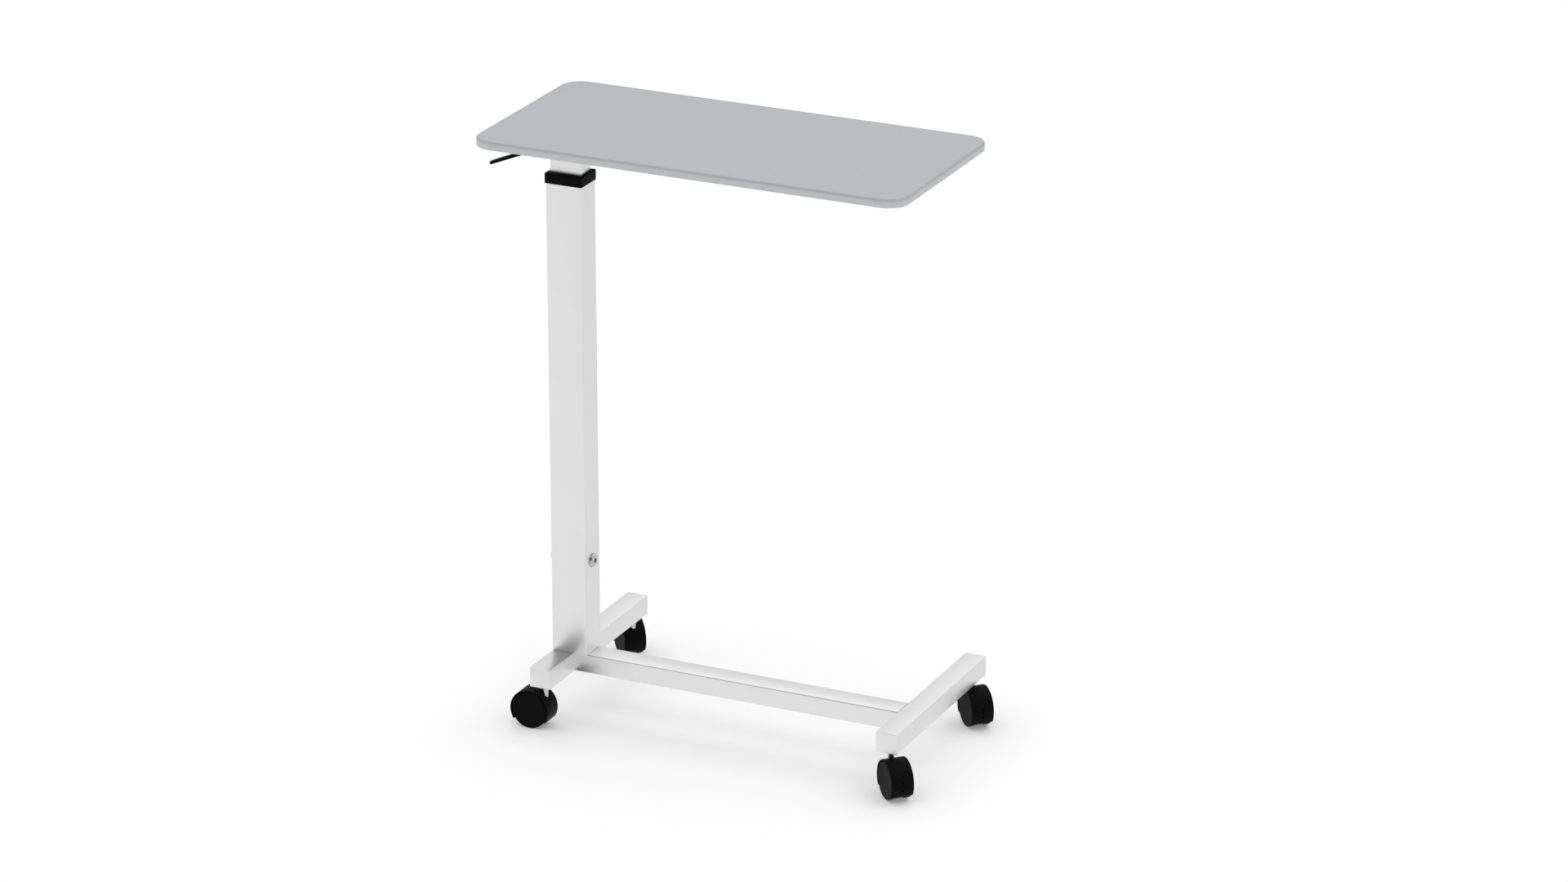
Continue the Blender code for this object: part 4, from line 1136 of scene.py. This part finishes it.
class OVERBED_OT_stage(Operator):
    """Set the pale floor, the soft light and the camera"""

    bl_idname = "overbed.stage"
    bl_label = "Stage"

    def execute(self, context):
        scene = context.scene
        stage = scene.overbed_stage
        scene.view_settings.view_transform = "Standard"
        self.floor(stage)
        self.sky(scene, stage)
        self.overhead(scene, stage)
        self.camera(scene, stage)
        return {"FINISHED"}

    def floor(self, stage):
        """A white floor: lit near the table, where it takes shadows, plain farther off, and with painted
        shade behind the table as reflections see it.
        """
        start()
        bpy.ops.mesh.primitive_plane_add(size=stage.floor_size, location=(0, 0, 0))
        floor = bpy.context.active_object
        floor.name = "studio_floor"
        material = bpy.data.materials.new("studio_floor")
        material.use_nodes = True
        tree = material.node_tree
        tree.nodes.clear()
        output = add_node(tree, "ShaderNodeOutputMaterial", (600, 0))
        matt = add_node(tree, "ShaderNodeBsdfDiffuse", (0, 100))
        matt.inputs["Color"].default_value = (*stage.floor, 1.0)
        glow = add_node(tree, "ShaderNodeEmission", (0, -100))
        light = add_node(tree, "ShaderNodeLightPath", (-900, 500)).outputs
        where = add_node(tree, "ShaderNodeTexCoord", (-1100, 200)).outputs["Object"]
        parts = add_node(tree, "ShaderNodeSeparateXYZ", (-900, -300))
        tree.links.new(where, parts.inputs["Vector"])
        # Painted shade: glossy rays see the floor darker behind the table, standing in for the table's shade
        # on it
        shade_behind = ramp(tree, parts.outputs["Y"], FLOOR_SHADE_SPAN, (0.0, stage.mirrored_floor_shade), (-700, -300))
        painted_floor_shade = math_node(tree, "MULTIPLY", light["Is Glossy Ray"], shade_behind, (-500, -200))
        strength = math_node(tree, "SUBTRACT", 1.0, painted_floor_shade, (-250, -200))
        tree.links.new(strength, glow.inputs["Strength"])
        away = add_node(tree, "ShaderNodeVectorMath", (-900, 200), operation="LENGTH")
        tree.links.new(where, away.inputs[0])
        span = (stage.near_floor, stage.far_floor)
        plain = ramp(tree, away.outputs["Value"], span, (stage.near_glow, 1.0), (-700, 200))
        seen = math_node(tree, "MULTIPLY", light["Is Camera Ray"], plain, (-500, 300))
        share = math_node(tree, "MAXIMUM", seen, light["Is Glossy Ray"], (-300, 300))
        mix = add_node(tree, "ShaderNodeMixShader", (300, 0))
        tree.links.new(share, mix.inputs["Fac"])
        tree.links.new(matt.outputs["BSDF"], mix.inputs[1])
        tree.links.new(glow.outputs["Emission"], mix.inputs[2])
        tree.links.new(mix.outputs["Shader"], output.inputs["Surface"])
        floor.data.materials.append(material)

    def sky(self, scene, stage):
        """Soft white all round, which reflections see darker high up on the viewer's side."""
        world = bpy.data.worlds.new("studio_sky")
        scene.world = world
        world.use_nodes = True
        tree = world.node_tree
        tree.nodes.clear()
        output = add_node(tree, "ShaderNodeOutputWorld", (600, 0))
        glow = add_node(tree, "ShaderNodeBackground", (300, 0))
        where = add_node(tree, "ShaderNodeTexCoord", (-700, 0))
        towards = add_node(tree, "ShaderNodeVectorMath", (-500, 0), operation="DOT_PRODUCT")
        tree.links.new(where.outputs["Generated"], towards.inputs[0])
        towards.inputs[1].default_value = SKY_SHADE_DIRECTION.normalized()
        shades = (stage.mirrored_sky, stage.mirrored_sky * stage.front_shade)
        mirrored = ramp(tree, towards.outputs["Value"], SKY_SHADE, shades, (-300, 0))
        light = add_node(tree, "ShaderNodeLightPath", (-300, 300))
        strength = add_node(tree, "ShaderNodeMix", (0, 100), data_type="FLOAT")
        tree.links.new(light.outputs["Is Glossy Ray"], strength.inputs["Factor"])
        strength.inputs["A"].default_value = stage.sky
        tree.links.new(mirrored, strength.inputs["B"])
        tree.links.new(strength.outputs["Result"], glow.inputs["Strength"])
        tree.links.new(glow.outputs["Background"], output.inputs["Surface"])

    def overhead(self, scene, stage):
        data = bpy.data.lights.new("overhead", "SUN")
        data.energy = stage.top_light
        data.angle = stage.top_spread
        lamp = bpy.data.objects.new("overhead", data)
        scene.collection.objects.link(lamp)
        lamp.rotation_euler = (stage.top_tilt, 0.0, 0.0)

    def camera(self, scene, stage):
        data = bpy.data.cameras.new("photo_camera")
        data.lens = stage.lens
        data.sensor_width = stage.sensor
        data.clip_end = stage.clip_end
        camera = bpy.data.objects.new("photo_camera", data)
        scene.collection.objects.link(camera)
        camera.location = stage.camera_place
        camera.rotation_euler = (math.pi / 2 - stage.camera_pitch, 0.0, stage.camera_yaw)
        scene.camera = camera


class OVERBED_PT_panel(Panel):
    """The table's pieces, sizes and finishes"""

    bl_idname = "OVERBED_PT_panel"
    bl_label = "Overbed Table"
    bl_space_type = "VIEW_3D"
    bl_region_type = "UI"
    bl_category = "Overbed Table"

    def draw(self, context):
        layout = self.layout
        for operator in OPERATORS:
            layout.operator(operator.bl_idname)
        scene = context.scene
        for group in (scene.overbed_sizes, scene.overbed_finishes, scene.overbed_stage):
            box = layout.box()
            for name in group.__annotations__:
                box.prop(group, name)


OPERATORS = (
    OVERBED_OT_finishes,
    OVERBED_OT_base,
    OVERBED_OT_column,
    OVERBED_OT_cross_bolt,
    OVERBED_OT_lever,
    OVERBED_OT_top,
    OVERBED_OT_casters,
    OVERBED_OT_works,
    OVERBED_OT_stage,
)
CLASSES = (OverbedSizes, OverbedFinishes, OverbedStage, *OPERATORS, OVERBED_PT_panel)


def register():
    for cls in CLASSES:
        bpy.utils.register_class(cls)
    bpy.types.Scene.overbed_sizes = PointerProperty(type=OverbedSizes)
    bpy.types.Scene.overbed_finishes = PointerProperty(type=OverbedFinishes)
    bpy.types.Scene.overbed_stage = PointerProperty(type=OverbedStage)


def unregister():
    del bpy.types.Scene.overbed_stage
    del bpy.types.Scene.overbed_finishes
    del bpy.types.Scene.overbed_sizes
    for cls in reversed(CLASSES):
        bpy.utils.unregister_class(cls)


def main():
    register()
    bpy.ops.overbed.finishes()
    bpy.ops.overbed.base()
    bpy.ops.overbed.column()
    bpy.ops.overbed.cross_bolt()
    bpy.ops.overbed.lever()
    bpy.ops.overbed.top()
    bpy.ops.overbed.casters()
    bpy.ops.overbed.works()
    bpy.ops.overbed.stage()


if __name__ == "__main__":
    main()
